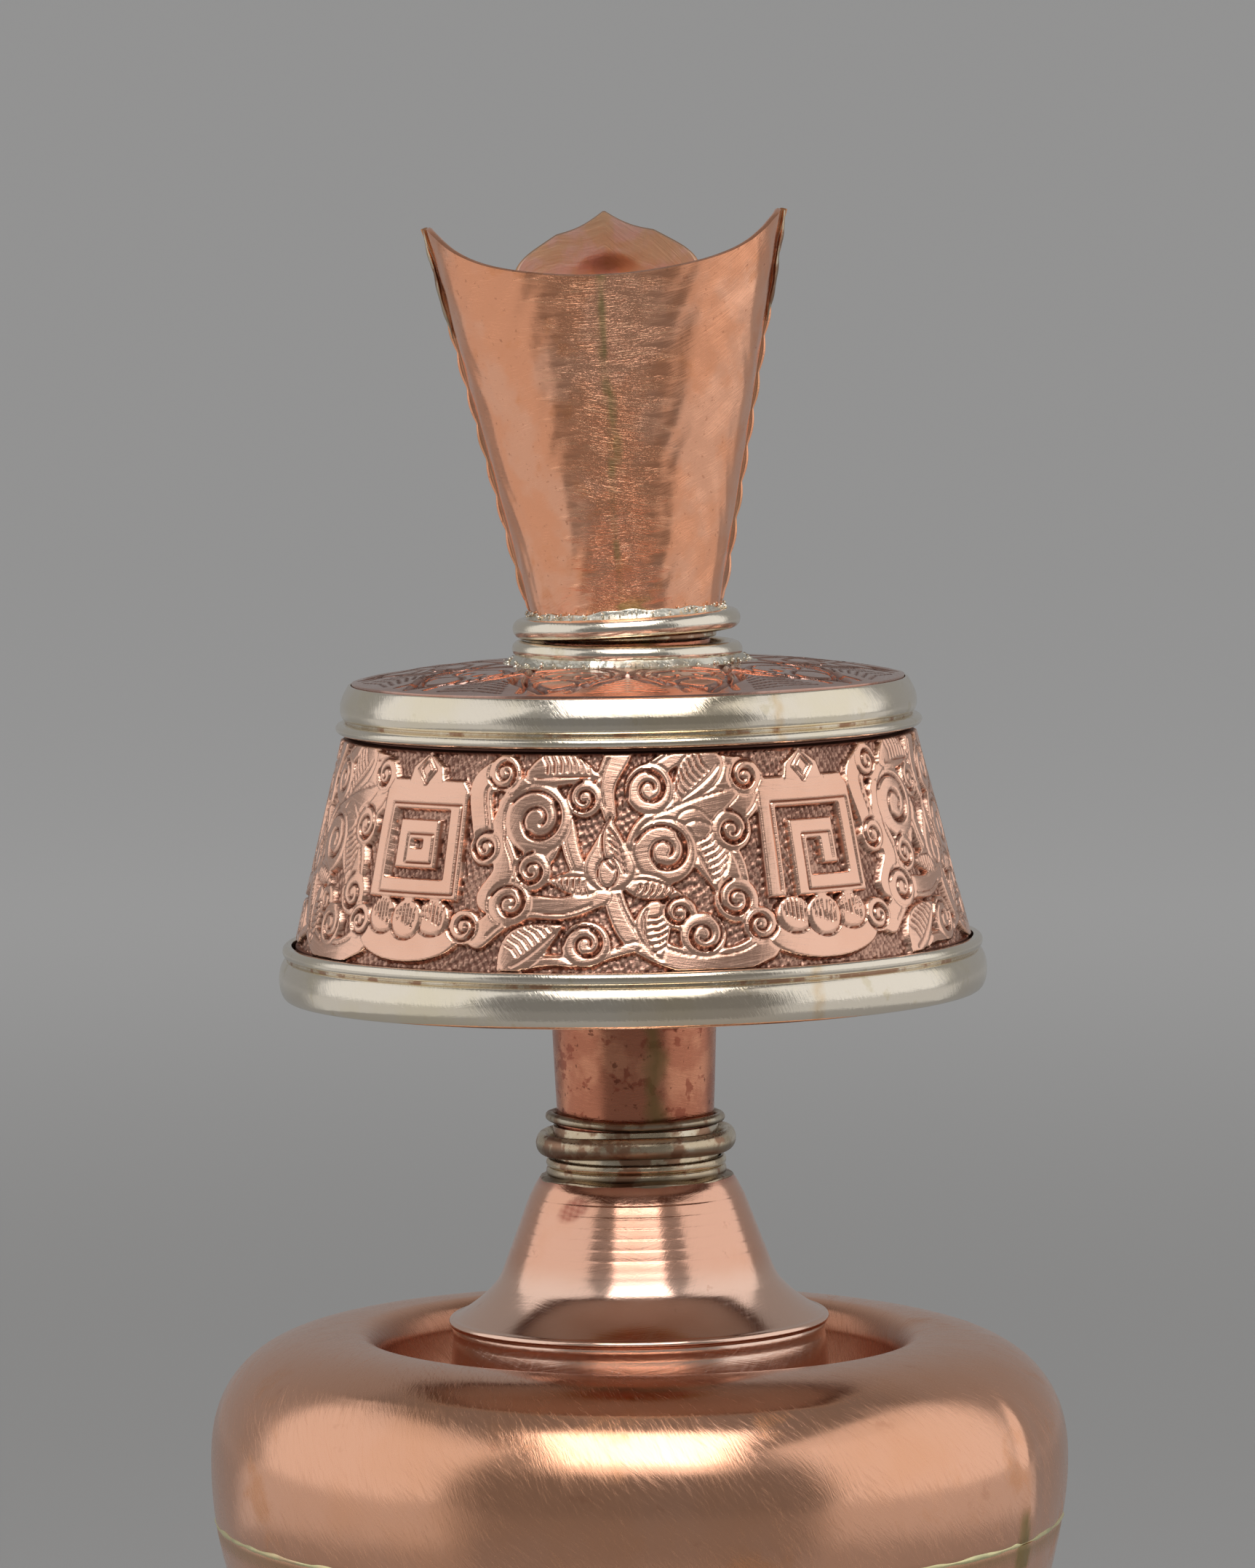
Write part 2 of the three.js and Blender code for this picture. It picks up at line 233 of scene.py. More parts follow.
def turned(name, outline, space, sides=192, uneven=0.0, seed=1, stain=None, shift=None):
    """A piece turned from an outline.

    Angles run from the front, -Y, towards +X, and the unrolled sheet starts at the back. shift gives
    changes of radius and height, and stain a value from 0 to 1 or several by name, at each angle,
    radius and height.
    """
    profile = np.array(softened(outline))
    lengths = np.r_[0, np.cumsum(np.hypot(*np.diff(np.vstack([profile, profile[:1]]), axis=0).T))]
    angle = np.linspace(-math.pi, math.pi, sides, endpoint=False)
    radius = profile[:, 0, None] + np.zeros(sides)
    height = profile[:, 1, None] + np.zeros(sides)
    if uneven:
        radius = radius + waver(angle, height, uneven, seed) * (radius > 0.5)
    if shift is not None:
        change = shift(angle, radius, height)
        radius, height = radius + change[0], height + change[1]
    rows = np.stack([radius * np.sin(angle), -radius * np.cos(angle), height], -1)
    reach = profile[:, 0].max()
    unrolled = np.linspace(-math.pi * reach, math.pi * reach, sides + 1)
    flat = np.stack(np.broadcast_arrays(unrolled[None], lengths[:, None]), -1)
    stains = np.zeros_like(radius) if stain is None else stain(angle, radius, height)
    values = stains if isinstance(stains, dict) else {"stain": stains}
    return grid_piece(name, rows, flat, space, values=values)


# --- Chased relief: heights in millimetres over an unrolled sheet ---


def spline(points, steps=7):
    """A smooth curve through given points."""
    p = [np.array(point, float) for point in points]
    p = [2 * p[0] - p[1], *p, 2 * p[-1] - p[-2]]
    curve = []
    for a, b, c, d in zip(p, p[1:], p[2:], p[3:]):
        for x in np.arange(steps) / steps:
            rise = (c - a) * x + (2 * a - 5 * b + 4 * c - d) * x**2 + (3 * b - a - 3 * c + d) * x**3
            curve.append(b + rise / 2)
    return np.array(curve + [p[-2]])


def mirrored(points, axis):
    return [(2 * axis - x, y) for x, y in points]


class Relief:
    """A sunk ground with raised shapes. Later shapes lie over earlier ones."""

    EDGE = 0.1  # half the width of the wall between a shape and what lies below it

    def __init__(self, across, up, ground):
        self.across, self.up = across, up
        self.height = np.full(across.shape, float(ground))
        self.line = np.zeros(across.shape)

    def near(self, points, margin):
        (x0, y0), (x1, y1) = points.min(0) - margin, points.max(0) + margin
        return (self.across > x0) & (self.across < x1) & (self.up > y0) & (self.up < y1)

    def within(self, here, points, widths=None):
        """How far inside a line of that width each place lies."""
        x, y = self.across[here], self.up[here]
        widths = np.zeros(len(points)) if widths is None else widths
        best = np.full(x.shape, -1e9)
        for (ax, ay), (bx, by), wide, next_wide in zip(points, points[1:], widths, widths[1:]):
            dx, dy = bx - ax, by - ay
            share = np.clip(((x - ax) * dx + (y - ay) * dy) / (dx * dx + dy * dy + 1e-12), 0, 1)
            away = np.hypot(x - ax - share * dx, y - ay - share * dy)
            best = np.maximum(best, (wide + (next_wide - wide) * share) / 2 - away)
        return best

    def lift(self, here, inside, top=0.0, rounding=0.4, drop=0.17):
        cover = ramp(-self.EDGE, self.EDGE, inside)
        crown = top - drop * (1 - ramp(0, rounding, inside)) ** 2
        self.height[here] = self.height[here] * (1 - cover) + crown * cover
        self.line[here] *= 1 - cover

    def stroke(self, points, start_width, end_width, top=0.0):
        points = np.asarray(points, float)
        here = self.near(points, max(start_width, end_width))
        widths = np.linspace(start_width, end_width, len(points))
        self.lift(here, self.within(here, points, widths), top)
        along = np.gradient(points, axis=0)
        over = np.c_[-along[:, 1], along[:, 0]] / np.hypot(*along.T)[:, None]
        if start_width > 1.5:
            self.engrave((points + over * widths[:, None] * 0.24)[2:-2], 0.2, 0.19)

    def bars(self, lines, width, top=0.05):
        """Square-ended bars along level and upright lines, joined into one shape."""
        everything = np.vstack(lines)
        here = self.near(everything, width)
        x, y = self.across[here], self.up[here]
        inside = np.full(x.shape, -1e9)
        for line in lines:
            for (ax, ay), (bx, by) in zip(line, line[1:]):
                reach_x, reach_y = abs(bx - ax) / 2 + width / 2, abs(by - ay) / 2 + width / 2
                level = reach_x - abs(x - (ax + bx) / 2)
                upright = reach_y - abs(y - (ay + by) / 2)
                inside = np.maximum(inside, np.minimum(level, upright))
        self.lift(here, inside, top)

    def shape(self, points, top=0.0, rounding=0.6):
        points = np.asarray(points, float)
        loop = np.vstack([points, points[:1]])
        here = self.near(points, 1)
        x, y = self.across[here], self.up[here]
        inside = np.zeros(x.shape, bool)
        for (ax, ay), (bx, by) in zip(loop, loop[1:]):
            spans = (ay > y) != (by > y)
            inside ^= spans & (x < (bx - ax) * (y - ay) / (by - ay + 1e-12) + ax)
        edge = -self.within(here, loop)
        self.lift(here, np.where(inside, edge, -edge), top, rounding)

    def engrave(self, points, width=0.32, depth=0.3):
        points = np.asarray(points, float)
        here = self.near(points, width * 2)
        groove = ramp(0, 1, 1 + self.within(here, points) / width)
        self.height[here] -= depth * groove
        self.line[here] = np.maximum(self.line[here], groove)

    def volute(self, centre, radius, start, hand=1, turns=1.55):
        """A rolled curl: a raised disc with a spiral chased into it, wider at its first turn."""
        around = np.linspace(0, 2 * math.pi, 33)[:-1]
        self.shape(np.c_[np.cos(around), np.sin(around)] * radius + centre, rounding=0.8)
        share = np.linspace(0, 1, int(turns * 26))
        angle = math.radians(start) + hand * turns * 2 * math.pi * share
        reach = radius * (0.92 - 0.74 * share**0.75)
        spiral = np.c_[np.cos(angle), np.sin(angle)] * reach[:, None] + centre
        self.engrave(spiral, 0.22 + 0.03 * radius, 0.42)
        pocket = spiral[len(spiral) // 5 : len(spiral) // 2] * 0.94 + np.array(centre) * 0.06
        self.engrave(pocket, 0.08 + 0.13 * radius, 0.4)

    def leaf(self, base, tip, width, bow=0.0, hatches=6, side=1):
        """A pointed leaf with a bowed midrib and short cuts on one side of it."""
        base, tip = np.array(base, float), np.array(tip, float)
        along = tip - base
        over = np.array([-along[1], along[0]]) / np.hypot(*along)

        def middle(share):
            return base + along * share + over * bow * 4 * share * (1 - share)

        def half(share):
            return width / 2 * np.sin(math.pi * (0.03 + 0.94 * share) ** 0.75)

        share = np.linspace(0, 1, 15)[:, None]
        left, right = middle(share) + over * half(share), middle(share) - over * half(share)
        self.shape(np.vstack([left, right[::-1]]))
        self.engrave((middle(share) - side * over * half(share) * 0.5)[2:-2], 0.24, 0.22)
        for s in np.linspace(0.22, 0.76, hatches):
            outer = middle(s) + side * over * half(s) * 0.8
            inner = middle(s) - side * over * half(s) * 0.25 + along * 0.07
            self.engrave([outer, (outer + inner) / 2 + along * 0.03, inner], 0.19, 0.26)


def lotus_bud(relief, x, y):
    left = [(x, y + 5), (x - 1.5, y + 2.2), (x - 3.3, y - 1.2), (x - 2.9, y - 3.3), (x - 1.6, y - 4.5)]
    left.append((x, y - 4.8))
    right = mirrored(left, x)[::-1]
    relief.shape(np.vstack([spline(left, 5), spline(right, 5)[1:-1]]), rounding=0.9)
    petal = [(x + 0.1, y + 4.6), (x - 0.9, y + 2.4), (x - 0.7, y - 0.4), (x + 0.5, y - 2)]
    relief.engrave(spline(petal), 0.28)
    for k in range(5):
        start = np.array((x - 0.2 + 0.15 * k, y + 3.1 - 0.85 * k))
        relief.engrave([start, start + (0.9, -0.9), start + (1.6, -2.2)], 0.19, 0.28)
    around = np.linspace(0, 2 * math.pi, 25)
    relief.engrave(np.c_[x - 0.3 + 1.2 * np.cos(around), y - 2.4 + 1.8 * np.sin(around)], 0.26)


# Scrollwork round a bud at (0, 14.6): points are millimetres to the right of it and above the wall's foot.
STEMS = (
    (((0.2, 10.4), (1.2, 7), (3.2, 3.9), (8.6, 1.2), (14.6, 1.1), (18.6, 2.6)), 2.2, 3.2),
    (((-1.2, 9.4), (-5.6, 7.9), (-10.2, 8), (-13.6, 6.4), (-16.2, 4.2)), 2.4, 2.8),
    (((3, 13), (4.6, 17.2), (8.8, 19.3), (14, 20.8), (19, 21.6)), 3.0, 4.0),
    (((0, 19.4), (-0.5, 23.2), (1.2, 27.2)), 1.6, 3.2),
    (((-3, 10.8), (-4.7, 14.7), (-5.8, 18.7), (-8.1, 22.2), (-11.2, 22.9), (-13.6, 20.6)), 1.8, 2.6),
    (((-13.4, 20.6), (-14.4, 16.4), (-13.2, 12.5), (-15, 9)), 2.6, 3.4),
    (((10.6, 17.6), (14.8, 13.4), (15.6, 8.6)), 4.2, 3.2),
    (((-14.6, 24.9), (-17.6, 22.8), (-17, 18.2), (-16.4, 15.4)), 3.4, 2.6),
    (((14.2, 24.6), (18.8, 23.8), (18.4, 20.8), (15.9, 18.6)), 3.8, 2.6),
    (((-12.6, 0.4), (-7.6, 1.4), (-3.4, 1.4), (3, 3)), 1.6, 1.2),
    (((5.4, 24.6), (9, 26.6), (13, 26.9)), 2.4, 1.8),
    (((-10.4, 12.6), (-7.6, 14.2), (-6.4, 16.8)), 1.6, 1.0),
)
LEAVES = (
    ((-11.4, 24.4), (-0.9, 24), 4.6, 1.1, 7, 1),
    ((15, 26.6), (8.2, 20.4), 5.4, -0.6, 7, -1),
    ((10.2, 18.4), (13.2, 9.6), 5.6, 0.9, 7, 1),
    ((-13.2, 0.4), (-5.6, 5.8), 5.2, 0.5, 7, 1),
    ((5.4, 8.8), (6, 1.2), 4.4, -0.6, 6, 1),
)
CURLS = (
    ((-9.4, 18.9), 4.1, 150, -1),
    ((6.9, 14.8), 3.8, 160, -1),
    ((-3.3, 21.5), 2.2, 100, 1),
    ((5.2, 22.6), 3.0, 200, -1),
    ((18.2, 23.8), 2.2, 60, 1),
    ((15.7, 17.2), 2.5, 100, -1),
    ((-9.8, 12.5), 2.3, 90, 1),
    ((-12.4, 8.4), 2.6, 160, -1),
    ((-16.3, 15.3), 2.1, 70, 1),
    ((-14.4, 24.6), 2.2, 200, 1),
    ((-2.8, 3.4), 2.7, 180, -1),
    ((8.3, 7.1), 2.0, 80, 1),
    ((11, 4.3), 2.6, 60, -1),
    ((15.5, 8.5), 2.6, 100, 1),
)
SEPALS = (
    ((-1.2, 10.4), (-7.8, 11.2), 3.2, -0.3, 6, 1),
    ((1.6, 10.7), (8.8, 9.4), 3.2, 0.3, 6, -1),
)


def scroll_field(relief, x):
    for points, start_width, end_width in STEMS:
        relief.stroke(spline(points) + (x, 0), start_width * 1.15, end_width * 1.15)
    for base, tip, *rest in LEAVES:
        relief.leaf(np.add(base, (x, 0)), np.add(tip, (x, 0)), *rest)
    for centre, radius, start, hand in CURLS:
        relief.volute(np.add(centre, (x, 0)), radius * 1.1, start, hand)
    for base, tip, *rest in SEPALS:
        relief.leaf(np.add(base, (x, 0)), np.add(tip, (x, 0)), *rest)
    lotus_bud(relief, x, 14.6)


def fret(which):
    """A plain square fret, as lines in millimetres from its middle."""
    key = [(-6.2, -5.6), (-6.2, 5.6), (6.2, 5.6), (6.2, -5.6)]
    key += [(-2.2, -5.6), (-2.2, 1.4), (2.2, 1.4), (2.2, -1.8)]
    if which == 1:
        key = [(-x, y) for x, y in key]
    if which == 2:
        ring = [(-6.2, -5.6), (6.2, -5.6), (6.2, 5.6), (-6.2, 5.6), (-6.2, -5.6)]
        return [ring, [(-2.2, -1.8), (-2.2, 1.8), (2.2, 1.8), (2.2, -1.8), (-2.2, -1.8)]]
    return [key]


def cartouche(relief, x, which):
    """A square fret on a lotus foot, with a small gable above it."""
    crescent = [(-9.4, 6.6), (-7.6, 2.6), (-4, 0.9), (0, 0.5), (4, 0.9), (7.6, 2.6), (9.4, 6.6)]
    crescent += [(6, 6.4), (0, 6.2), (-6, 6.4)]
    relief.shape(spline([(x + a, b) for a, b in crescent], 5), rounding=0.5)
    for side in (-1, 1):
        relief.volute((x + side * 8.8, 5.3), 2.3, 90 + side * 100, side)
    around = np.linspace(0, 2 * math.pi, 25)[:-1]
    for side, middle in ((-1, 6.3), (1, 6.3), (0, 6.0)):
        petal = np.c_[2.5 * np.cos(around), (2.6 - 0.3 * abs(side)) * np.sin(around)]
        petal = petal + (x + side * 4.2, middle)
        relief.engrave(np.vstack([petal, petal[:1]]), 0.3, 0.4)
        relief.shape(petal, 0.06, 0.9)
        for k in range(6):
            offset = 0.62 * (k - 2.5)
            top = (x + side * 4.2 + offset, middle + 1.9 - 0.25 * offset * offset)
            relief.engrave([top, (x + side * 4.2 + offset * 0.8, middle - 0.2 - 0.2 * k % 3)], 0.17, 0.26)
    relief.shape([(x - 8, 21.7), (x - 6.6, 23.6), (x + 6.6, 23.6), (x + 8, 21.7)])
    relief.shape([(x - 3.4, 22.8), (x - 2.8, 25.2), (x, 27), (x + 2.8, 25.2), (x + 3.4, 22.8)])
    for size in (1.9, 1.1):
        diamond = [(0, -size), (size * 0.9, 0), (0, size), (-size * 0.9, 0), (0, -size)]
        relief.engrave(np.add(diamond, (x, 24.7)), 0.2, 0.28)
    lines = [np.add(line, (x, 15.4)) for line in fret(which)]
    relief.bars(lines, 2.6)
    for line in lines:
        relief.engrave(line + np.array((0.5, -0.6)), 0.22, 0.26)


def punched(across, up, size, depth):
    """Crossed rows of punch marks, a little irregular."""
    sway = 0.5 * np.sin(across * 0.83 + up * 1.7) + 0.4 * np.sin(across * 1.9 - up * 0.9 + 2)
    sway = sway + 0.9 * np.sin(across * 5.7 + up * 4.3) * np.sin(up * 6.1 - across * 3.1)
    one = np.sin(math.pi * (across + up * 0.45) / size + sway)
    other = np.sin(math.pi * (across * 0.5 - up) / (size * 1.5) - sway * 0.8 + 1)
    return depth * (np.abs(one) * (0.4 + 0.6 * np.abs(other)) - 0.4)


# --- Shader groups ---


def shader_group(name, inputs, outputs):
    """An empty shader group with named sockets. Returns its tree, inputs node and outputs node."""
    tree = bpy.data.node_groups.new(name, "ShaderNodeTree")
    for label, kind, value in inputs:
        socket = tree.interface.new_socket(label, in_out="INPUT", socket_type=kind)
        if value is not None:
            socket.default_value = value
    for label, kind in outputs:
        tree.interface.new_socket(label, in_out="OUTPUT", socket_type=kind)
    return tree, tree.nodes.new("NodeGroupInput"), tree.nodes.new("NodeGroupOutput")


def add(tree, kind, *links, **settings):
    """A node, with its settings, and with (input, source) links or values."""
    node = tree.nodes.new(kind)
    for key, value in settings.items():
        setattr(node, key, value)
    for label, source in links:
        if isinstance(source, bpy.types.NodeSocket):
            tree.links.new(source, node.inputs[label])
        else:
            node.inputs[label].default_value = source
    return node


def math_node(tree, operation, a, b=0.0, clamp=False):
    return add(tree, "ShaderNodeMath", (0, a), (1, b), operation=operation, use_clamp=clamp).outputs[0]


def vector_node(tree, operation, a, b):
    return add(tree, "ShaderNodeVectorMath", (0, a), (1, b), operation=operation).outputs[0]


def mapped(tree, value, low, high, out_low=0.0, out_high=1.0):
    links = [("Value", value), ("From Min", low), ("From Max", high)]
    links += [("To Min", out_low), ("To Max", out_high)]
    return add(tree, "ShaderNodeMapRange", *links, interpolation_type="SMOOTHSTEP").outputs["Result"]


def noise(tree, vector, scale, detail=3.0, rough=0.55):
    links = (("Vector", vector), ("Scale", scale), ("Detail", detail), ("Roughness", rough))
    return add(tree, "ShaderNodeTexNoise", *links).outputs["Fac"]


def mixed(tree, share, a, b):
    node = add(tree, "ShaderNodeMix", data_type="RGBA")
    for index, source in ((0, share), (6, a), (7, b)):
        if isinstance(source, bpy.types.NodeSocket):
            tree.links.new(source, node.inputs[index])
        else:
            node.inputs[index].default_value = source
    return node.outputs[2]


def build_scratches():
    """Fine parallel scratches on the unrolled sheet, in patches of two slightly different directions."""
    tree, given, result = shader_group(
        "hand_scratches",
        (
            ("Sheet", "NodeSocketVector", None),
            ("Angle", "NodeSocketFloat", 0.0),
            ("Length", "NodeSocketFloat", 8.0),
            ("Spacing", "NodeSocketFloat", 0.25),
        ),
        (("Height", "NodeSocketFloat"), ("Mask", "NodeSocketFloat")),
    )
    sheet_place, angle = given.outputs["Sheet"], given.outputs["Angle"]
    patch = mapped(tree, noise(tree, sheet_place, 0.11, 2.0), 0.44, 0.56)
    other_patch = math_node(tree, "SUBTRACT", 1.0, patch)
    sets = []
    for extra, weight in ((-0.16, patch), (0.2, other_patch), (0.0, 0.5)):
        total = math_node(tree, "ADD", angle, extra)
        turned_sheet = add(
            tree, "ShaderNodeVectorRotate", ("Vector", sheet_place), ("Angle", total), rotation_type="Z_AXIS"
        ).outputs[0]
        across = math_node(tree, "DIVIDE", 1.0, given.outputs["Length"])
        up = math_node(tree, "DIVIDE", 1.0, given.outputs["Spacing"])
        size = add(tree, "ShaderNodeCombineXYZ", ("X", across), ("Y", up), ("Z", 1.0)).outputs[0]
        drawn = vector_node(tree, "MULTIPLY", turned_sheet, size)
        sets.append(math_node(tree, "MULTIPLY", noise(tree, drawn, 1.0, 3.0, 0.7), weight))
    height = math_node(tree, "ADD", math_node(tree, "ADD", sets[0], sets[1]), sets[2])
    tree.links.new(height, result.inputs["Height"])
    tree.links.new(mapped(tree, height, 0.7, 0.95), result.inputs["Mask"])
    return tree


def build_blotches():
    """Soft-edged blotches on the solid, at the size given in millimetres."""
    tree, given, result = shader_group(
        "blotches",
        (
            ("Place", "NodeSocketVector", None),
            ("Size", "NodeSocketFloat", 10.0),
            ("Cover", "NodeSocketFloat", 0.5),
            ("Softness", "NodeSocketFloat", 0.1),
        ),
        (("Mask", "NodeSocketFloat"),),
    )
    scale = math_node(tree, "DIVIDE", 1000.0, given.outputs["Size"])
    value = noise(tree, given.outputs["Place"], scale, 4.0, 0.6)
    middle = math_node(tree, "SUBTRACT", 0.78, math_node(tree, "MULTIPLY", given.outputs["Cover"], 0.56))
    low = math_node(tree, "SUBTRACT", middle, given.outputs["Softness"])
    high = math_node(tree, "ADD", middle, given.outputs["Softness"])
    tree.links.new(mapped(tree, value, low, high), result.inputs["Mask"])
    return tree


SCRATCHES = build_scratches()
BLOTCHES = build_blotches()


def grouped(tree, group, **values):
    node = tree.nodes.new("ShaderNodeGroup")
    node.node_tree = group
    for label, value in values.items():
        if isinstance(value, bpy.types.NodeSocket):
            tree.links.new(value, node.inputs[label])
        else:
            node.inputs[label].default_value = value
    return node


# --- Metals ---


class Finish:
    """A Principled material built up in layers of colour, roughness and height."""

    def __init__(self, name, colour, roughness, metallic=1.0):
        self.material = bpy.data.materials.new(name)
        self.material.use_nodes = True
        self.tree = self.material.node_tree
        self.shader = self.tree.nodes["Principled BSDF"]
        self.shader.inputs["Metallic"].default_value = metallic
        self.place = add(self.tree, "ShaderNodeTexCoord").outputs["Object"]
        self.sheet = add(self.tree, "ShaderNodeUVMap", uv_map="metric").outputs[0]
        self.colour = (*colour, 1.0)
        self.rough = roughness
        self.heights = []

    def attribute(self, name):
        return add(self.tree, "ShaderNodeAttribute", attribute_name=name).outputs["Fac"]

    def blotch(self, size, cover, softness=0.1, shift=0.0):
        """Blotches of a size in millimetres. Another shift gives the same kind in other places."""
        place = vector_node(self.tree, "ADD", self.place, (shift, shift * 0.7, -shift))
        values = {"Place": place, "Size": size, "Cover": cover, "Softness": softness}
        return grouped(self.tree, BLOTCHES, **values).outputs["Mask"]

    def tint(self, mask, colour, amount=1.0, rough=None):
        """Lays a colour, and if given a roughness, over what is there where the mask says."""
        share = math_node(self.tree, "MULTIPLY", mask, amount, clamp=True)
        self.colour = mixed(self.tree, share, self.colour, (*colour, 1.0))
        if rough is not None:
            self.rough = mapped_mix(self.tree, share, self.rough, rough)

    def scratch(self, angle, length, spacing, depth, roughen=0.12, where=None):
        """Scratches at an angle in degrees to the sheet's level direction, where the mask says."""
        values = {"Angle": math.radians(-angle), "Length": length, "Spacing": spacing}
        node = grouped(self.tree, SCRATCHES, Sheet=self.sheet, **values)
        height, mask = node.outputs["Height"], node.outputs["Mask"]
        if where is not None:
            height = math_node(self.tree, "MULTIPLY", height, where)
            mask = math_node(self.tree, "MULTIPLY", mask, where)
        self.heights.append((height, depth))
        self.rough = math_node(self.tree, "ADD", self.rough, math_node(self.tree, "MULTIPLY", mask, roughen))
        return mask

    def dents(self, size, depth):
        self.heights.append((noise(self.tree, self.place, 1000.0 / size, 2.0), depth))

    def done(self, slot):
        if isinstance(self.colour, tuple):
            self.shader.inputs["Base Color"].default_value = self.colour
        else:
            self.tree.links.new(self.colour, self.shader.inputs["Base Color"])
        if isinstance(self.rough, float):
            self.shader.inputs["Roughness"].default_value = self.rough
        else:
            self.tree.links.new(self.rough, self.shader.inputs["Roughness"])
        normal = None
        for height, depth in self.heights:
            links = [("Height", height), ("Distance", depth * MM), ("Strength", 1.0)]
            if normal is not None:
                links.append(("Normal", normal))
            normal = add(self.tree, "ShaderNodeBump", *links).outputs["Normal"]
        if normal is not None:
            self.tree.links.new(normal, self.shader.inputs["Normal"])
        return self.material, slot


def mapped_mix(tree, share, a, b):
    """A plain number that goes from a to b with share."""
    if isinstance(a, float):
        return mapped(tree, share, 0.0, 1.0, a, b)
    rest = math_node(tree, "SUBTRACT", 1.0, share)
    return math_node(tree, "ADD", math_node(tree, "MULTIPLY", a, rest), math_node(tree, "MULTIPLY", share, b))


COPPER = (0.87, 0.47, 0.31)
DARK_COPPER = (0.50, 0.20, 0.115)
ORANGE = (0.80, 0.36, 0.17)
OLIVE = (0.23, 0.21, 0.075)
WHITE_METAL = (0.86, 0.78, 0.66)
BRASS = (0.66, 0.46, 0.19)


def belly_copper():
    finish = Finish("satin_copper", COPPER, 0.13)
    finish.tint(finish.blotch(38, 0.4, 0.09), ORANGE, 0.3, 0.22)
    finish.tint(finish.blotch(13, 0.24, 0.06, 0.03), ORANGE, 0.6, 0.3)
    finish.tint(finish.blotch(5, 0.16, 0.05, 0.08), DARK_COPPER, 0.25)
    # Painted shade: the well round the cone is tinted a deep brown.
    finish.tint(finish.attribute("well"), (0.36, 0.15, 0.09), 0.85, 0.24)
    finish.tint(finish.attribute("stain"), OLIVE, 0.8, 0.5)
    mask = finish.scratch(-60, 7, 0.26, 0.013)
    finish.tint(mask, ORANGE, 0.12)
    finish.scratch(-40, 12, 0.4, 0.009)
    finish.dents(14, 0.12)
    return finish.done("belly_copper")


def spun_copper():
    finish = Finish("spun_copper", (0.87, 0.49, 0.35), 0.13)
    finish.tint(finish.blotch(16, 0.4, 0.1), (0.80, 0.38, 0.22), 0.35)
    # Painted light: the flare and skirt are tinted paler to stand in for their brighter reflections.
    finish.tint(finish.attribute("flare"), (1.0, 0.74, 0.61), 0.95, 0.17)
    finish.tint(finish.attribute("stain"), (0.42, 0.13, 0.09), 0.85, 0.3)
    finish.tint(finish.blotch(2.5, 0.14, 0.05, 0.05), DARK_COPPER, 0.35)
    finish.scratch(0, 40, 0.3, 0.01, 0.06)
    finish.scratch(50, 5, 0.4, 0.006, 0.06)
    return finish.done("spun_copper")


def neck_copper():
    finish = Finish("flame_reddened_copper", (0.56, 0.21, 0.125), 0.21)
    finish.tint(finish.blotch(8, 0.42, 0.06), (0.74, 0.32, 0.19), 0.8)
    finish.tint(finish.blotch(3, 0.3, 0.03, 0.02), (0.36, 0.10, 0.06), 0.75, 0.32)
    finish.tint(finish.blotch(1.3, 0.22, 0.03, 0.06), (0.16, 0.05, 0.03), 0.7, 0.4)
    finish.tint(finish.attribute("stain"), OLIVE, 0.8, 0.4)
    finish.scratch(0, 3, 0.3, 0.025)
    finish.dents(5, 0.08)
    return finish.done("neck_copper")


def chased_copper():
    finish = Finish("chased_copper", (0.97, 0.585, 0.435), 0.15)
    finish.tint(finish.blotch(20, 0.4, 0.1), (0.88, 0.48, 0.33), 0.5)
    mask = finish.scratch(0, 16, 0.34, 0.03, 0.16)
    finish.tint(mask, (0.93, 0.62, 0.48), 0.25)
    finish.scratch(75, 5, 0.35, 0.01, 0.05)
    finish.tint(finish.attribute("stain"), (0.15, 0.062, 0.046), 0.94, 0.5)
    finish.dents(9, 0.16)
    return finish.done("chased_copper")


def lid_copper():
    finish = Finish("engraved_copper", (0.66, 0.43, 0.36), 0.17)
    finish.tint(finish.blotch(14, 0.4, 0.1), (0.66, 0.32, 0.21), 0.5)
    finish.tint(finish.attribute("stain"), (0.20, 0.07, 0.045), 0.85, 0.4)
    finish.scratch(30, 4, 0.3, 0.006, 0.1)
    finish.dents(4, 0.08)
    return finish.done("chased_copper")


def mouth_copper():
    finish = Finish("brushed_copper", (0.98, 0.44, 0.25), 0.17)
    finish.tint(finish.blotch(12, 0.42, 0.07), (0.99, 0.52, 0.34), 0.7)
    finish.tint(finish.blotch(6, 0.26, 0.06, 0.05), (0.88, 0.36, 0.17), 0.6, 0.27)
    finish.tint(finish.blotch(0.7, 0.22, 0.03, 0.09), (0.45, 0.18, 0.10), 0.5, 0.35)
    # Painted light: the inner faces are tinted paler pink to stand in for their brighter light.
    finish.tint(finish.attribute("inside"), (1.0, 0.66, 0.55), 0.95, 0.38)
    flame_marks = finish.blotch(6, 0.45, 0.08, 0.02)
    golden = math_node(finish.tree, "MULTIPLY", flame_marks, finish.attribute("inside"))
    finish.tint(golden, (0.90, 0.58, 0.28), 0.6)
    finish.tint(finish.attribute("stain"), OLIVE, 0.8, 0.4)
    finish.tint(finish.attribute("braze"), (0.45, 0.33, 0.12), 0.85, 0.35)
    finish.scratch(20, 6, 0.3, 0.02, 0.08)
    filed = finish.scratch(-5, 4.2, 0.22, 0.075, 0.09, finish.attribute("filed"))
    finish.tint(filed, (0.99, 0.62, 0.38), 0.45)
    finish.dents(8, 0.2)
    finish.dents(3, 0.05)
    return finish.done("mouth_copper")


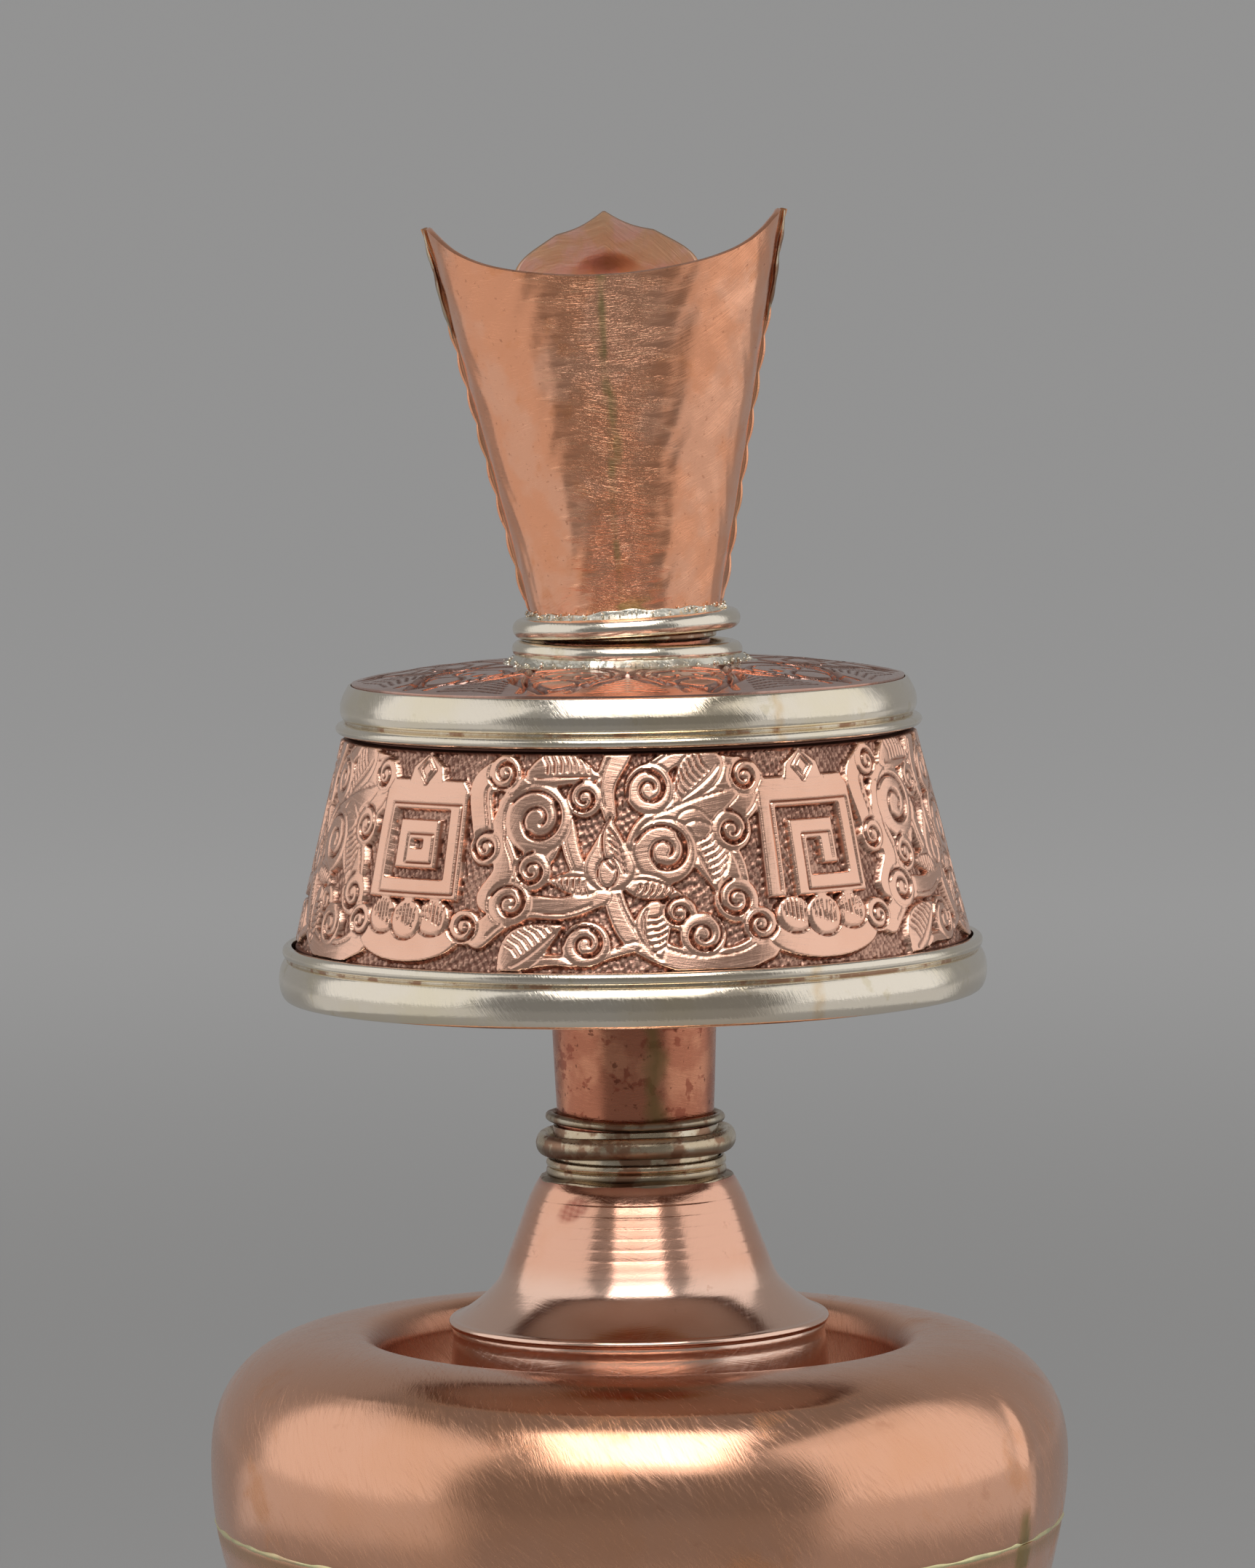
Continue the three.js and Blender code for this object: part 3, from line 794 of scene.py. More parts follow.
def white_metal():
    finish = Finish("white_metal", WHITE_METAL, 0.09)
    finish.tint(finish.blotch(18, 0.4, 0.1), (0.84, 0.74, 0.52), 0.5)
    finish.tint(finish.blotch(4, 0.2, 0.05, 0.05), (0.70, 0.60, 0.40), 0.5, 0.22)
    finish.tint(finish.attribute("stain"), (0.72, 0.48, 0.22), 0.8)
    finish.scratch(-58, 2.2, 0.3, 0.02, 0.12)
    finish.scratch(0, 18, 0.35, 0.008, 0.05)
    finish.dents(5, 0.05)
    return finish.done("white_metal")


def tarnished_metal():
    finish = Finish("tarnished_white_metal", (0.62, 0.50, 0.35), 0.2)
    finish.tint(finish.blotch(7, 0.4, 0.06), (0.80, 0.72, 0.58), 0.7)
    finish.tint(finish.blotch(4, 0.42, 0.05, 0.04), (0.34, 0.17, 0.10), 0.85, 0.36)
    # Dark brown stain. On the collar wires it also lays painted shade on each wire's lower half.
    finish.tint(finish.attribute("stain"), (0.10, 0.07, 0.05), 0.85, 0.45)
    finish.scratch(30, 2, 0.2, 0.009)
    finish.dents(2.5, 0.06)
    return finish.done("white_metal")


def tinned_copper():
    finish = Finish("dull_tinned_copper", (0.74, 0.71, 0.67), 0.5, 0.4)
    finish.tint(finish.blotch(12, 0.4, 0.08), (0.60, 0.52, 0.45), 0.6)
    finish.scratch(20, 6, 0.3, 0.02)
    finish.dents(6, 0.1)
    return finish.done("neck_copper")


def solder():
    finish = Finish("grainy_solder", (0.74, 0.70, 0.60), 0.3)
    finish.tint(finish.blotch(3, 0.4, 0.06), (0.42, 0.36, 0.28), 0.7, 0.45)
    finish.tint(finish.blotch(1.2, 0.3, 0.06, 0.05), (0.86, 0.80, 0.68), 0.8, 0.2)
    finish.dents(0.8, 0.12)
    return finish.done("white_metal")


def braze():
    finish = Finish("yellow_braze", (0.86, 0.78, 0.44), 0.35)
    finish.tint(finish.blotch(5, 0.4, 0.08), (0.62, 0.62, 0.36), 0.6)
    finish.tint(finish.blotch(9, 0.3, 0.05, 0.03), COPPER, 0.5)
    finish.dents(2, 0.06)
    return finish.done("bearing_brass")


def bearing_brass():
    finish = Finish("bearing_brass", BRASS, 0.28)
    finish.tint(finish.blotch(6, 0.35, 0.08), (0.40, 0.26, 0.10), 0.6, 0.4)
    finish.scratch(0, 20, 0.2, 0.006)
    return finish.done("bearing_brass")


def roll_paper():
    finish = Finish("old_paper", (0.62, 0.53, 0.36), 0.85, 0.0)
    finish.tint(finish.blotch(12, 0.4, 0.1), (0.46, 0.35, 0.20), 0.5)
    finish.tint(finish.blotch(1.5, 0.3, 0.08, 0.03), (0.70, 0.62, 0.45), 0.5)
    finish.dents(3, 0.2)
    return finish.done("roll_paper")


def binding_thread():
    finish = Finish("cotton_thread", (0.50, 0.08, 0.05), 0.9, 0.0)
    finish.tint(finish.blotch(1.0, 0.4, 0.1), (0.30, 0.04, 0.03), 0.7)
    finish.dents(0.6, 0.1)
    return finish.done("roll_paper")


FINISHES = {
    "belly_copper": belly_copper(),
    "spun_copper": spun_copper(),
    "neck_copper": neck_copper(),
    "chased_copper": chased_copper(),
    "lid_copper": lid_copper(),
    "mouth_copper": mouth_copper(),
    "white_metal": white_metal(),
    "tarnished_metal": tarnished_metal(),
    "tinned_copper": tinned_copper(),
    "solder": solder(),
    "braze": braze(),
    "bearing_brass": bearing_brass(),
    "roll_paper": roll_paper(),
    "binding_thread": binding_thread(),
}


# --- The vase body ---

BELLY_RADIUS = extent("belly_upper", UPRIGHT)[1]
BELLY_SEAM = extent("belly_lower", UPRIGHT)[3] + 0.15
WIDEST_LEVEL = 72.0
BELLY_CORNER = 14.0  # the lower belly's ellipse starts this far from the axis
BELLY_DEPTH = 46.0
SHOULDER_CORNER = 36.9  # the shoulder's curve ends this far from the axis
SHOULDER_SQUARENESS = 2.4  # exponent of the shoulder's superellipse; 2 is round
WELL_RADIUS = 33.3
ROLL_DEPTH = 4.0
COPPER_SHEET = 1.2
LAP_ANGLE = math.radians(61)  # of the upright lapped seam, from the front
CREASE_LEVEL = 85.2  # of a faint ridge left by the hammer along the front of the shoulder


def belly_side(start, end, steps):
    return arc((BELLY_CORNER, WIDEST_LEVEL), (BELLY_RADIUS - BELLY_CORNER, BELLY_DEPTH), start, end, steps)


def seam_tilt(angle):
    """How far the brazed seam climbs on its way round."""
    return 0.25 + 0.55 * np.sin(angle) + 0.12 * np.sin(5 * angle + 1)


def belly_shape(angle, radius, height):
    """The lapped seam up the side, the faint ridge on the shoulder, and the tilt of the brazed seam."""
    side = ramp(-40, -10, height - WIDEST_LEVEL) * (1 - ramp(8, 15, height - WIDEST_LEVEL))
    side = side * ramp(30, 45, radius)
    beside = (angle - LAP_ANGLE) * BELLY_RADIUS
    lap = 0.28 * ramp(-0.25, 0.25, beside) * (1 - ramp(2.2, 7, beside))
    near_seam = 1 - ramp(0, 9, abs(height - BELLY_SEAM))
    crease = 0.09 * np.exp(-(((height - CREASE_LEVEL) / 0.5) ** 2)) * ramp(0.55, 0.8, np.cos(angle + 0.15))
    return lap * side + crease * (radius > 40), seam_tilt(angle) * near_seam * ramp(40, 45, radius)


def belly_stain_and_shade(angle, radius, height):
    beside = (angle - LAP_ANGLE) * BELLY_RADIUS
    above = height - BELLY_SEAM
    drip = ramp(-0.6, 0.2, beside) * (1 - ramp(2.2, 3.2, beside + 0.3 * above)) * (1 - ramp(3.5, 6, above))
    wet = 0.55 * (1 - ramp(0.2, 1.6, abs(above + 0.9 - 0.55 * np.sin(angle))))
    # well: painted shade, darkening the recess round the cone.
    well = (1 - ramp(WELL_RADIUS + 0.2, WELL_RADIUS + 2.6, radius)) * (height > WIDEST_LEVEL)
    return {"stain": np.clip(drip * (above > -3) + wet * (radius > 45), 0, 1), "well": well}


def belly():
    hole, _, _, top = extent("belly_upper", UPRIGHT)
    power = 2 / SHOULDER_SQUARENESS
    shoulder = []
    for step in range(61):
        angle = math.radians(1.5 * step)
        across = SHOULDER_CORNER + (BELLY_RADIUS - SHOULDER_CORNER) * math.cos(angle) ** power
        shoulder.append((across, WIDEST_LEVEL + (top - WIDEST_LEVEL) * math.sin(angle) ** power))
    roll_centre = (SHOULDER_CORNER, top - ROLL_DEPTH)
    roll = arc(roll_centre, (SHOULDER_CORNER - WELL_RADIUS, ROLL_DEPTH), 90, 180, 12)[1:]
    floor = extent("neck_cone", STACK)[2] + STACK_PIVOT.z - 1.2
    well = bend((WELL_RADIUS - 0.8, floor + 4), (31.6, floor), (28, floor), 8)
    seam_angle = math.degrees(math.asin((WIDEST_LEVEL - BELLY_SEAM) / BELLY_DEPTH))
    wall = fine(belly_side(-seam_angle, 0, 10)[:-1], 1)
    path = [*wall, *shoulder, *roll, *well, *fine([(27, floor), (hole, floor)], 3)]
    options = {"sides": 384, "uneven": 0.09, "seed": 4, "shift": belly_shape, "stain": belly_stain_and_shade}
    upper = turned("belly_upper_shell", sheet(path, COPPER_SHEET), UPRIGHT, **options)
    place(upper, "vase", "belly_copper", "belly_upper")

    bottom = extent("belly_lower", UPRIGHT)[2]
    bottom_angle = -math.degrees(math.asin((WIDEST_LEVEL - bottom) / BELLY_DEPTH))
    side = belly_side(bottom_angle, -seam_angle, 60)
    side[-1] = (side[-1][0], side[-1][1] - 0.15)
    lower = turned("belly_lower_bowl", sheet([(0, bottom), *side], COPPER_SHEET), UPRIGHT, **options)
    place(lower, "vase", "belly_copper", "belly_lower")

    outer = BELLY_CORNER + (BELLY_RADIUS - BELLY_CORNER) * math.cos(math.radians(seam_angle))
    seam = half_round(outer - 0.6, outer + 0.1, BELLY_SEAM - 0.45, BELLY_SEAM + 0.4)

    def ragged(angle, radius, height):
        swell = 0.05 * np.sin(23 * angle) + 0.04 * np.sin(61 * angle)
        return swell, seam_tilt(angle) + 0.12 * np.sin(37 * angle) * (height > BELLY_SEAM)

    line = turned("belly_braze_line", seam, UPRIGHT, 384, 0.09, 4, shift=ragged)
    place(line, "vase", "braze")


def foot():
    bottom, top = extent("foot_pedestal", UPRIGHT)[2:]
    rim = extent("foot_rim_ring", UPRIGHT)
    edge = (rim[1] - 1, bottom + 1.5)
    flare = bend((rim[1] - 1.6, bottom + 2), (18, 8), (16, top - 3), 40)
    outline = sheet([(edge[0], bottom), edge, *flare, (16, top)], COPPER_SHEET)
    pedestal = turned("foot_flare", outline, UPRIGHT, 256, 0.08, 9)
    place(pedestal, "vase", "belly_copper", "foot_pedestal")
    ring = turned("foot_ring", half_round(*rim), UPRIGHT, 256)
    place(ring, "vase", "white_metal", "foot_rim_ring")
    knop = turned("waist_knop", half_round(*extent("waist_ring", UPRIGHT)), UPRIGHT, 192, 0.05, 2)
    place(knop, "vase", "white_metal", "waist_ring")


# --- The cone and its collar ---


def cone_path():
    """Spun from one disc: a bead at the lip, a flare, shallow tool steps, and a narrow top."""
    _, outer, foot_level, top = extent("neck_cone", STACK)
    lip = 3
    steps_start, step_height, step_count, step_depth = 12.2, 1.35, 6, 0.045
    flare = bend((outer - 0.4, lip + 0.2), (20.6, 5), (18.44, 7.5), 20)
    flare += bend(flare[-1], (17.75, 8.3), (17.19, 9.8), 12)[1:]
    shoulder = bend((14.4, 17.3), (13.6, 19.6), (12.4, top), 12)
    slope = fine([flare[-1], shoulder[0]], 0.12)[1:-1]
    stepped = []
    for radius, height in [*slope, *fine(shoulder, 0.12)]:
        share = (height - steps_start) / step_height
        tool_step = step_depth * (1 - share % 1) if 0 < share < step_count else 0
        stepped.append((radius - tool_step + 0.004 * math.sin(height * 5), height))
    lip_bead = arc((outer - 0.55, lip - 0.15), (0.55, 0.55), -80, 80, 10)
    skirt = fine([(outer - 0.1, foot_level), (outer - 0.1, lip - 6), (outer - 0.45, lip - 2.4)], 1)
    groove = [(outer - 0.5, lip - 2.1), (outer - 0.42, lip - 1.4), (outer - 0.4, lip - 0.9)]
    return [*skirt, *groove, *lip_bead, *flare[1:], *stepped]


def cone_stain_and_light(angle, radius, height):
    """A red bruise from the flame, up on the left, and a darker band at the top. The flare and skirt are
    painted paler: painted light for their brighter reflections.
    """
    middle = (angle + 0.62) * 13 - 0.5 * (height - 18.4)
    patch = ramp(0, 0.5, 1 - np.hypot(middle / 2.4, (height - 18.4) / 2.0))
    # A darker band at the cone's top, under the collar.
    darkening = 0.5 * ramp(20.4, 21.3, height)
    bruise = patch * (0.75 + 0.25 * np.sin(angle * 60 + height * 4) * np.sin(height * 5 - angle * 30))
    # flare: painted light, paler on the skirt and on the flare.
    flare = (1 - ramp(8, 12, height)) * (1 - 0.4 * ramp(2, 3.4, height))
    return {"stain": np.clip(bruise + darkening, 0, 1), "flare": flare}


def collar():
    cone = turned("spun_cone", sheet(cone_path(), 1.0), STACK, 256, 0.03, 3, stain=cone_stain_and_light)
    place(cone, "vase", "spun_copper", "neck_cone")
    inner, outer, bottom, top = extent("collar_lower_band", STACK)
    bead = (top - bottom) / 2
    band = [(inner, bottom)]
    for level in (bottom + bead / 2, top - bead / 2):
        band += arc((outer - 0.35, level), (0.38, bead / 2), -90, 90, 10)
    band.append((inner, top))
    # The band is darker at its foot, where it meets the cone.
    lower = turned("collar_band", band, STACK, 192, 0.07, 6,
                   stain=lambda a, r, h: 0.9 * (1 - ramp(0, 1.1, h - bottom)))
    place(lower, "vase", "tarnished_metal", "collar_lower_band")
    wires = (
        ("collar_middle_ring", "collar_wire", 8, 0.35, 0.0),
        ("collar_wire_ring", "collar_top_wire", 5, -0.45, 0.5),
    )
    for node, name, seed, tilt, darkening in wires:
        level = sum(extent(node, STACK)[2:]) / 2

        def bent(angle, radius, height):
            return 0 * angle, tilt * np.sin(angle + 0.6) * 0.45 + 0.12 * np.sin(3 * angle + seed)

        # Painted shade on the lower half of each wire, and the top wire darker all round.
        def painted_shade_and_darkening(angle, radius, height):
            below = 0.8 * (1 - ramp(-0.4, 0.1, height - level))
            return np.maximum(below, darkening * (0.7 + 0.3 * np.sin(4 * angle)))

        wire = round_wire(*extent(node, STACK))
        ring = turned(name, wire, STACK, 192, 0.1, seed, shift=bent, stain=painted_shade_and_darkening)
        place(ring, "vase", "tarnished_metal", node)
    cone_top = extent("neck_cone", STACK)[3]
    fillet = [(11.2, cone_top - 0.6), (12.35, cone_top - 0.6), (12.4, cone_top + 0.1)]
    fillet += [(11.5, cone_top + 0.5), (11.2, cone_top + 0.5)]

    def ragged(angle, radius, height):
        return 0.1 * np.sin(9 * angle) * (radius > 11.4), 0.12 * np.sin(7 * angle) * (height > cone_top)

    fill = turned("collar_solder", closed(fillet), STACK, 256, 0.05, 8, shift=ragged,
                  stain=lambda a, r, h: 0.35 + 0.3 * np.sin(5 * a + 1))
    place(fill, "vase", "tarnished_metal")
    sleeve = turned("collar_socket", tube(*extent("collar_sleeve", STACK)), STACK, 128)
    place(sleeve, "vase", "tarnished_metal", "collar_sleeve")


NECK_SEAM_ANGLE = 0.24  # right of the front


def neck():
    _, outer, bottom, top = extent("neck_tube", STACK)
    foot_radius, collar_radius = 9.54, 10.53  # the tube tapers down into the collar
    path = fine([(foot_radius, bottom), (collar_radius, 40), (outer, 43), (outer, top)], 1)

    def seam(angle, radius, height):
        beside = (angle - NECK_SEAM_ANGLE) * 10.5
        beside = beside + 0.35 * np.sin(height * 0.8) + 0.15 * np.sin(height * 2.3)
        return np.clip(1 - abs(beside) / (1.5 + 0.5 * np.sin(height * 0.9)), 0, 1) ** 0.6 * 0.8

    def lap(angle, radius, height):
        beside = (angle - NECK_SEAM_ANGLE) * 10
        return 0.06 * ramp(-0.3, 0.3, beside) * (1 - ramp(1, 5, beside)) * (radius > 10), 0 * angle

    piece = turned("neck_barrel", sheet(path, 1.0), STACK, 192, 0.06, 12, stain=seam, shift=lap)
    place(piece, "neck", "neck_copper", "neck_tube")


# --- The drum ---

FIELD_SPAN = 54.1  # one bud and half a cartouche on each side of it, along the middle of the wall
FIELDS = 5
BUD_PLACE = -2.6  # of the front bud
WALL_CORNERS = ((43.24, 52.0), (36.74, 78.0))  # radius and height of the chased wall's foot and top
GROUND = -0.85  # millimetres below the raised work
WALL_COLUMNS, WALL_ROWS = 1353, 135


def spread(angle):
    """Distance along the middle of the wall. The work is spaced a little wider at the front."""
    return FIELDS * FIELD_SPAN / (2 * math.pi) * angle - 3.05 * np.sin(angle)


def wall_relief(across, level):
    """The height of the chased work over the wall's sheet, and how dark each place is."""
    relief = Relief(across, level, GROUND)
    for k in range(-3, 4):
        scroll_field(relief, BUD_PLACE + k * FIELD_SPAN)
    for k in range(-3, 4):
        cartouche(relief, BUD_PLACE + (k + 0.5) * FIELD_SPAN, k % 3)
    height = relief.height
    sunk = 1 - ramp(GROUND + 0.1, GROUND + 0.45, height)
    height = height + punched(across, level, 0.85, 0.26) * sunk
    height = height + 0.05 * np.sin(across * 0.31 + 1) * np.sin(level * 0.4 + across * 0.12)
    stain = np.clip(ramp(-0.12, -0.55, height) + 0.55 * relief.line * (height < -0.12), 0, 1)
    stain = np.where(sunk > 0.6, np.clip(1 - 3.4 * (height - GROUND + 0.06), 0.4, 1), stain)
    return height, stain


def chased_wall():
    """The drum's wall, in a front and a back half."""
    (r0, h0), (r1, h1) = WALL_CORNERS
    slope = math.hypot(r1 - r0, h1 - h0)
    angle = np.linspace(-math.pi, math.pi, WALL_COLUMNS)
    up = np.linspace(0, slope, WALL_ROWS)
    across, level = np.meshgrid(spread(angle), up)
    height, stain = wall_relief(across, level)
    out, climb = (h1 - h0) / slope, (r0 - r1) / slope  # of the wall's normal
    radius = r0 + (r1 - r0) * level / slope + height * out
    upward = h0 + (h1 - h0) * level / slope + height * climb
    bottom = extent("drum_wall", STACK)[2]
    seat, top = 35.3, extent("drum_wall", STACK)[3]
    edge = [(r0, bottom), (r0 - 0.2, h0 - 0.2)]
    rest = [(r1 - 0.4, h1 + 0.15), (seat, h1 + 0.4), (seat, top), (seat - 1, top), (seat - 1, h1 - 0.8),
            (r1 - 2.4, h1 - 1.2), (r0 - 2.4, h0), (r0 - 1.2, h0 - 1), (r0 - 1.2, bottom)]

    def level_rows(points):
        pairs = np.array(points)[:, :, None] + np.zeros(len(angle))
        return pairs[:, 0], pairs[:, 1]

    parts = [level_rows(edge), (radius, upward), level_rows(rest)]
    radius, upward = (np.vstack([part[i] for part in parts]) for i in (0, 1))
    stain = np.vstack([np.ones((2, len(angle))), stain, np.ones((len(rest), len(angle)))])
    rows = np.stack([radius * np.sin(angle), -radius * np.cos(angle), upward], -1)
    lengths = np.r_[-6, -0.3, up, slope + np.arange(1, len(rest) + 2)]
    unrolled = np.r_[spread(angle), spread(angle[-1])]
    flat = np.stack(np.broadcast_arrays(unrolled[None], lengths[:, None]), -1)
    quarter = len(angle) // 4
    front = slice(quarter, -quarter)
    half = grid_piece("drum_wall_front", rows[:, front], flat[:, quarter : 1 - quarter], STACK, False,
                      {"stain": stain[:, front]}, 60)
    place(half, "drum", "chased_copper", "drum_wall")
    back = np.r_[np.arange(len(angle) - quarter - 1, len(angle) - 1), np.arange(0, quarter + 1)]
    flat_back = flat[:, np.r_[back, back[-1] + 1]].copy()
    flat_back[:, len(back) - quarter - 1 :, 0] += FIELDS * FIELD_SPAN
    half = grid_piece("drum_wall_back", rows[:, back], flat_back, STACK, False, {"stain": stain[:, back]}, 60)
    place(half, "drum", "chased_copper")


LID_PETALS = 10


def engrave_petals(relief):
    """Pointed petals round the lid, each with a bud and hatched leaves, and hatched tips between."""

    def polar(turn, points):
        return [(r * math.sin(turn + a / r), -r * math.cos(turn + a / r)) for a, r in points]

    for k in range(LID_PETALS):
        turn = 2 * math.pi * (k + 0.5) / LID_PETALS
        side = spline([(0, 33.9), (2.2, 31.5), (6.2, 27.5), (6.6, 22), (3.4, 17.2), (0, 15.4)])
        for sign in (-1, 1):
            relief.engrave(polar(turn, side * (sign, 1)), 0.7, 0.6)
            relief.engrave(polar(turn, side * (sign * 0.76, 0.9) + (0, 2.4)), 0.34, 0.4)
            curl = [(0.6, 20), (3.2, 21.4), (3.4, 24.4), (1.6, 25), (1.2, 23.4)]
            relief.engrave(polar(turn, spline(curl) * (sign, 1)), 0.5, 0.5)
            leaf = [(0.3, 26), (2.4, 27.6), (2.2, 30), (0.2, 31.6)]
            relief.engrave(polar(turn, spline(leaf) * (sign, 1)), 0.45, 0.45)
            for j in range(6):
                hatch = [(sign * (3.9 - 0.1 * j), 19.6 + 1.5 * j), (sign * (5.4 - 0.22 * j), 20.6 + 1.5 * j)]
                relief.engrave(polar(turn, hatch), 0.2, 0.24)
        between = turn + math.pi / LID_PETALS
        for sign in (-1, 1):
            tip = spline([(0, 20.4), (2.4, 25), (5.8, 30), (7.4, 33.6)])
            relief.engrave(polar(between, tip * (sign, 1)), 0.5, 0.5)
            for j in range(8):
                hatch = [(sign * 0.3, 24.6 + 1.2 * j), (sign * (1.4 + 0.5 * j), 26.2 + 1.1 * j)]
                relief.engrave(polar(between, hatch), 0.2, 0.22)


def engraved_lid():
    """A low dome, cut with a graver."""
    hole, edge = extent("drum_top_plate", STACK)[:2]
    edge_level, rise = 85.2, 2.4
    angle = np.linspace(-math.pi, math.pi, 840, endpoint=False)
    radius = np.linspace(edge, hole, 104)
    around, reach = np.meshgrid(angle, radius)
    relief = Relief(reach * np.sin(around), -reach * np.cos(around), 0.0)
    engrave_petals(relief)
    height = relief.height + 0.04 * np.sin(7 * around + reach)
    upward = edge_level + rise * (1 - (reach / edge) ** 3) + height
    stain = np.clip(0.9 * relief.line + 0.12, 0, 1)
    under = np.linspace(hole, edge, 12)[:, None] + np.zeros(len(angle))
    below = edge_level + rise * (1 - (under / edge) ** 3) - 1
    radius = np.vstack([reach, under])
    upward = np.vstack([upward, below])
    rows = np.stack([radius * np.sin(angle), -radius * np.cos(angle), upward], -1)
    stain = np.vstack([stain, np.ones(under.shape)])
    corner = np.r_[0, 0.25 * np.arange(1, len(rows) + 1)]
    flat = np.stack(np.broadcast_arrays(np.r_[angle, math.pi][None] * 24, corner[:, None]), -1)
    lid = grid_piece("drum_lid", rows, flat, STACK, True, {"stain": stain}, 60)
    place(lid, "drum", "lid_copper", "drum_top_plate")


def rim_stain(angle, radius, height):
    """A brass solder joint, right of the front."""
    joint = 1 - ramp(0.1, 0.9, abs((angle - 0.53) * 36 + 0.2 * np.sin(height * 3)))
    return 0.55 * joint + 0.25 * ramp(0.7, 1, np.sin(angle * 3 + 1))


def drum_wires():
    for node, name, amount, seed in (
        ("drum_bottom_rim", "bottom_rim_wire", 0.07, 3),
        ("drum_bottom_bead", "bottom_bead_wire", 0.05, 14),
        ("drum_top_bead", "top_bead_wire", 0.05, 15),
        ("drum_top_rim", "top_rim_wire", 0.06, 5),
    ):
        inner, outer, bottom, top = extent(node, STACK)
        section = leaning_round if node == "drum_top_rim" else half_round
        wire = turned(name, section(inner, outer, bottom, top), STACK, 384, amount, seed, stain=rim_stain)
        place(wire, "drum", "white_metal", node)
    for name, level, radius in (("top_rim_solder", 80.3, 36.1), ("bottom_rim_solder", 50.1, 44.1)):
        outline = tube(radius - 0.6, radius + 0.15, level - 0.15, level + 0.45)
        fill = turned(name, outline, STACK, 384, 0.05, 7)
        place(fill, "drum", "tarnished_metal")


def drum_ring():
    """The collar ring on the lid, slightly tilted, in a ragged skirt of solder."""
    inner, outer, bottom, top = extent("drum_collar_ring", STACK)
    tilt = math.radians(0.9)

    def tilted(angle, radius, height):
        return 0 * angle, -radius * np.sin(angle) * math.sin(tilt) + 0.05 * np.sin(3 * angle)

    ring = turned("drum_ring_wire", round_wire(inner, outer, bottom, top), STACK, 224, 0.1, 21, shift=tilted,
                  stain=lambda a, r, h: 0.45 * (1 - ramp(0, 0.8, h - bottom)))
    place(ring, "drum", "white_metal", "drum_collar_ring")
    lid_level = extent("drum_top_plate", STACK)[3]
    skirt = [(12.4, bottom + 0.9), (14.3, bottom + 0.8), (14.75, bottom + 0.2), (15.3, lid_level - 0.15),
             (16.2, lid_level - 0.25), (15.9, lid_level - 0.7), (12.4, lid_level - 0.7)]

    def ragged(angle, radius, height):
        wide = 0.35 * np.sin(5 * angle) + 0.2 * np.sin(13 * angle + 1) + 0.12 * np.sin(31 * angle)
        return wide * ramp(14, 16, radius), 0.08 * np.sin(17 * angle) * ramp(14, 15, radius)

    fill = turned("drum_ring_solder", closed(skirt), STACK, 384, shift=ragged)
    place(fill, "drum", "solder")


def small_turnings():
    """Plain turned pieces that only show when the vase comes apart."""
    for node, name, body, metal, sides in (
        ("foot_base_plate", "foot_closing_disc", "vase", "belly_copper", 192),
        ("drum_seat_ring", "seat_ring", "neck", "bearing_brass", 128),
        ("drum_thrust_washer", "thrust_washer", "neck", "bearing_brass", 128),
        ("drum_bottom_plate", "drum_floor", "drum", "tinned_copper", 256),
        ("drum_bottom_bush", "lower_bush", "drum", "bearing_brass", 128),
        ("drum_top_bush", "upper_bush", "drum", "bearing_brass", 128),
        ("roll_core_tube", "roll_core", "drum", "neck_copper", 128),
        ("mantra_roll", "paper_roll", "drum", "roll_paper", 192),
    ):
        space = UPRIGHT if node == "foot_base_plate" else STACK
        inner, outer, bottom, top = extent(node, space)
        outline = closed(tube(inner, outer, bottom, top), 2)
        place(turned(name, outline, space, sides), body, metal, node)


# --- The mouth ---

SHELL_FOOT = 0.9
SHELL_FOOT_RADIUS = 11.6
MOUTH_HALF_WIDTH = 22.6  # at the tips of the horns
HORN_TIP = 52.7
BACK_EDGE = 45.7  # the lowest point of the plain shell's edge
BACK_DEPTH = 18  # how far the plain shell's top stands out
FRONT_DEPTH = 9  # how far the leaf plate's top stands out
LEAF_TIP = 53.6
LEAF_SHOULDER = 44.5
LEAF_HALF_WIDTH = 13
TRIM_FOOT = 38.6
TRIM_LENGTH = 14
MOUTH_SHEET = 0.8
SPLIT = 2  # degrees left open at each end of both sheets


def grown(height, top):
    """Half of the mouth's width or depth at a height, from what it is at the horns' tips."""
    rise = (top - SHELL_FOOT_RADIUS) * (height - SHELL_FOOT)
    return SHELL_FOOT_RADIUS + rise / (HORN_TIP - SHELL_FOOT)


def back_edge(across):
    return BACK_EDGE + (HORN_TIP - BACK_EDGE) * (across**2 + across**8) * 0.5


def front_edge(across):
    leaf = np.minimum(abs(across * MOUTH_HALF_WIDTH) / LEAF_HALF_WIDTH, 1)
    scallop = 0.35 * abs(np.sin(leaf * 6.3)) * (leaf < 1)
    rise = (LEAF_TIP - LEAF_SHOULDER) * (0.62 * np.sqrt(1 - leaf**4) + 0.38 * (1 - leaf) ** 2) - scallop
    return LEAF_SHOULDER + rise + (HORN_TIP - LEAF_SHOULDER) * (np.maximum(abs(across) - 0.6, 0) / 0.4) ** 2


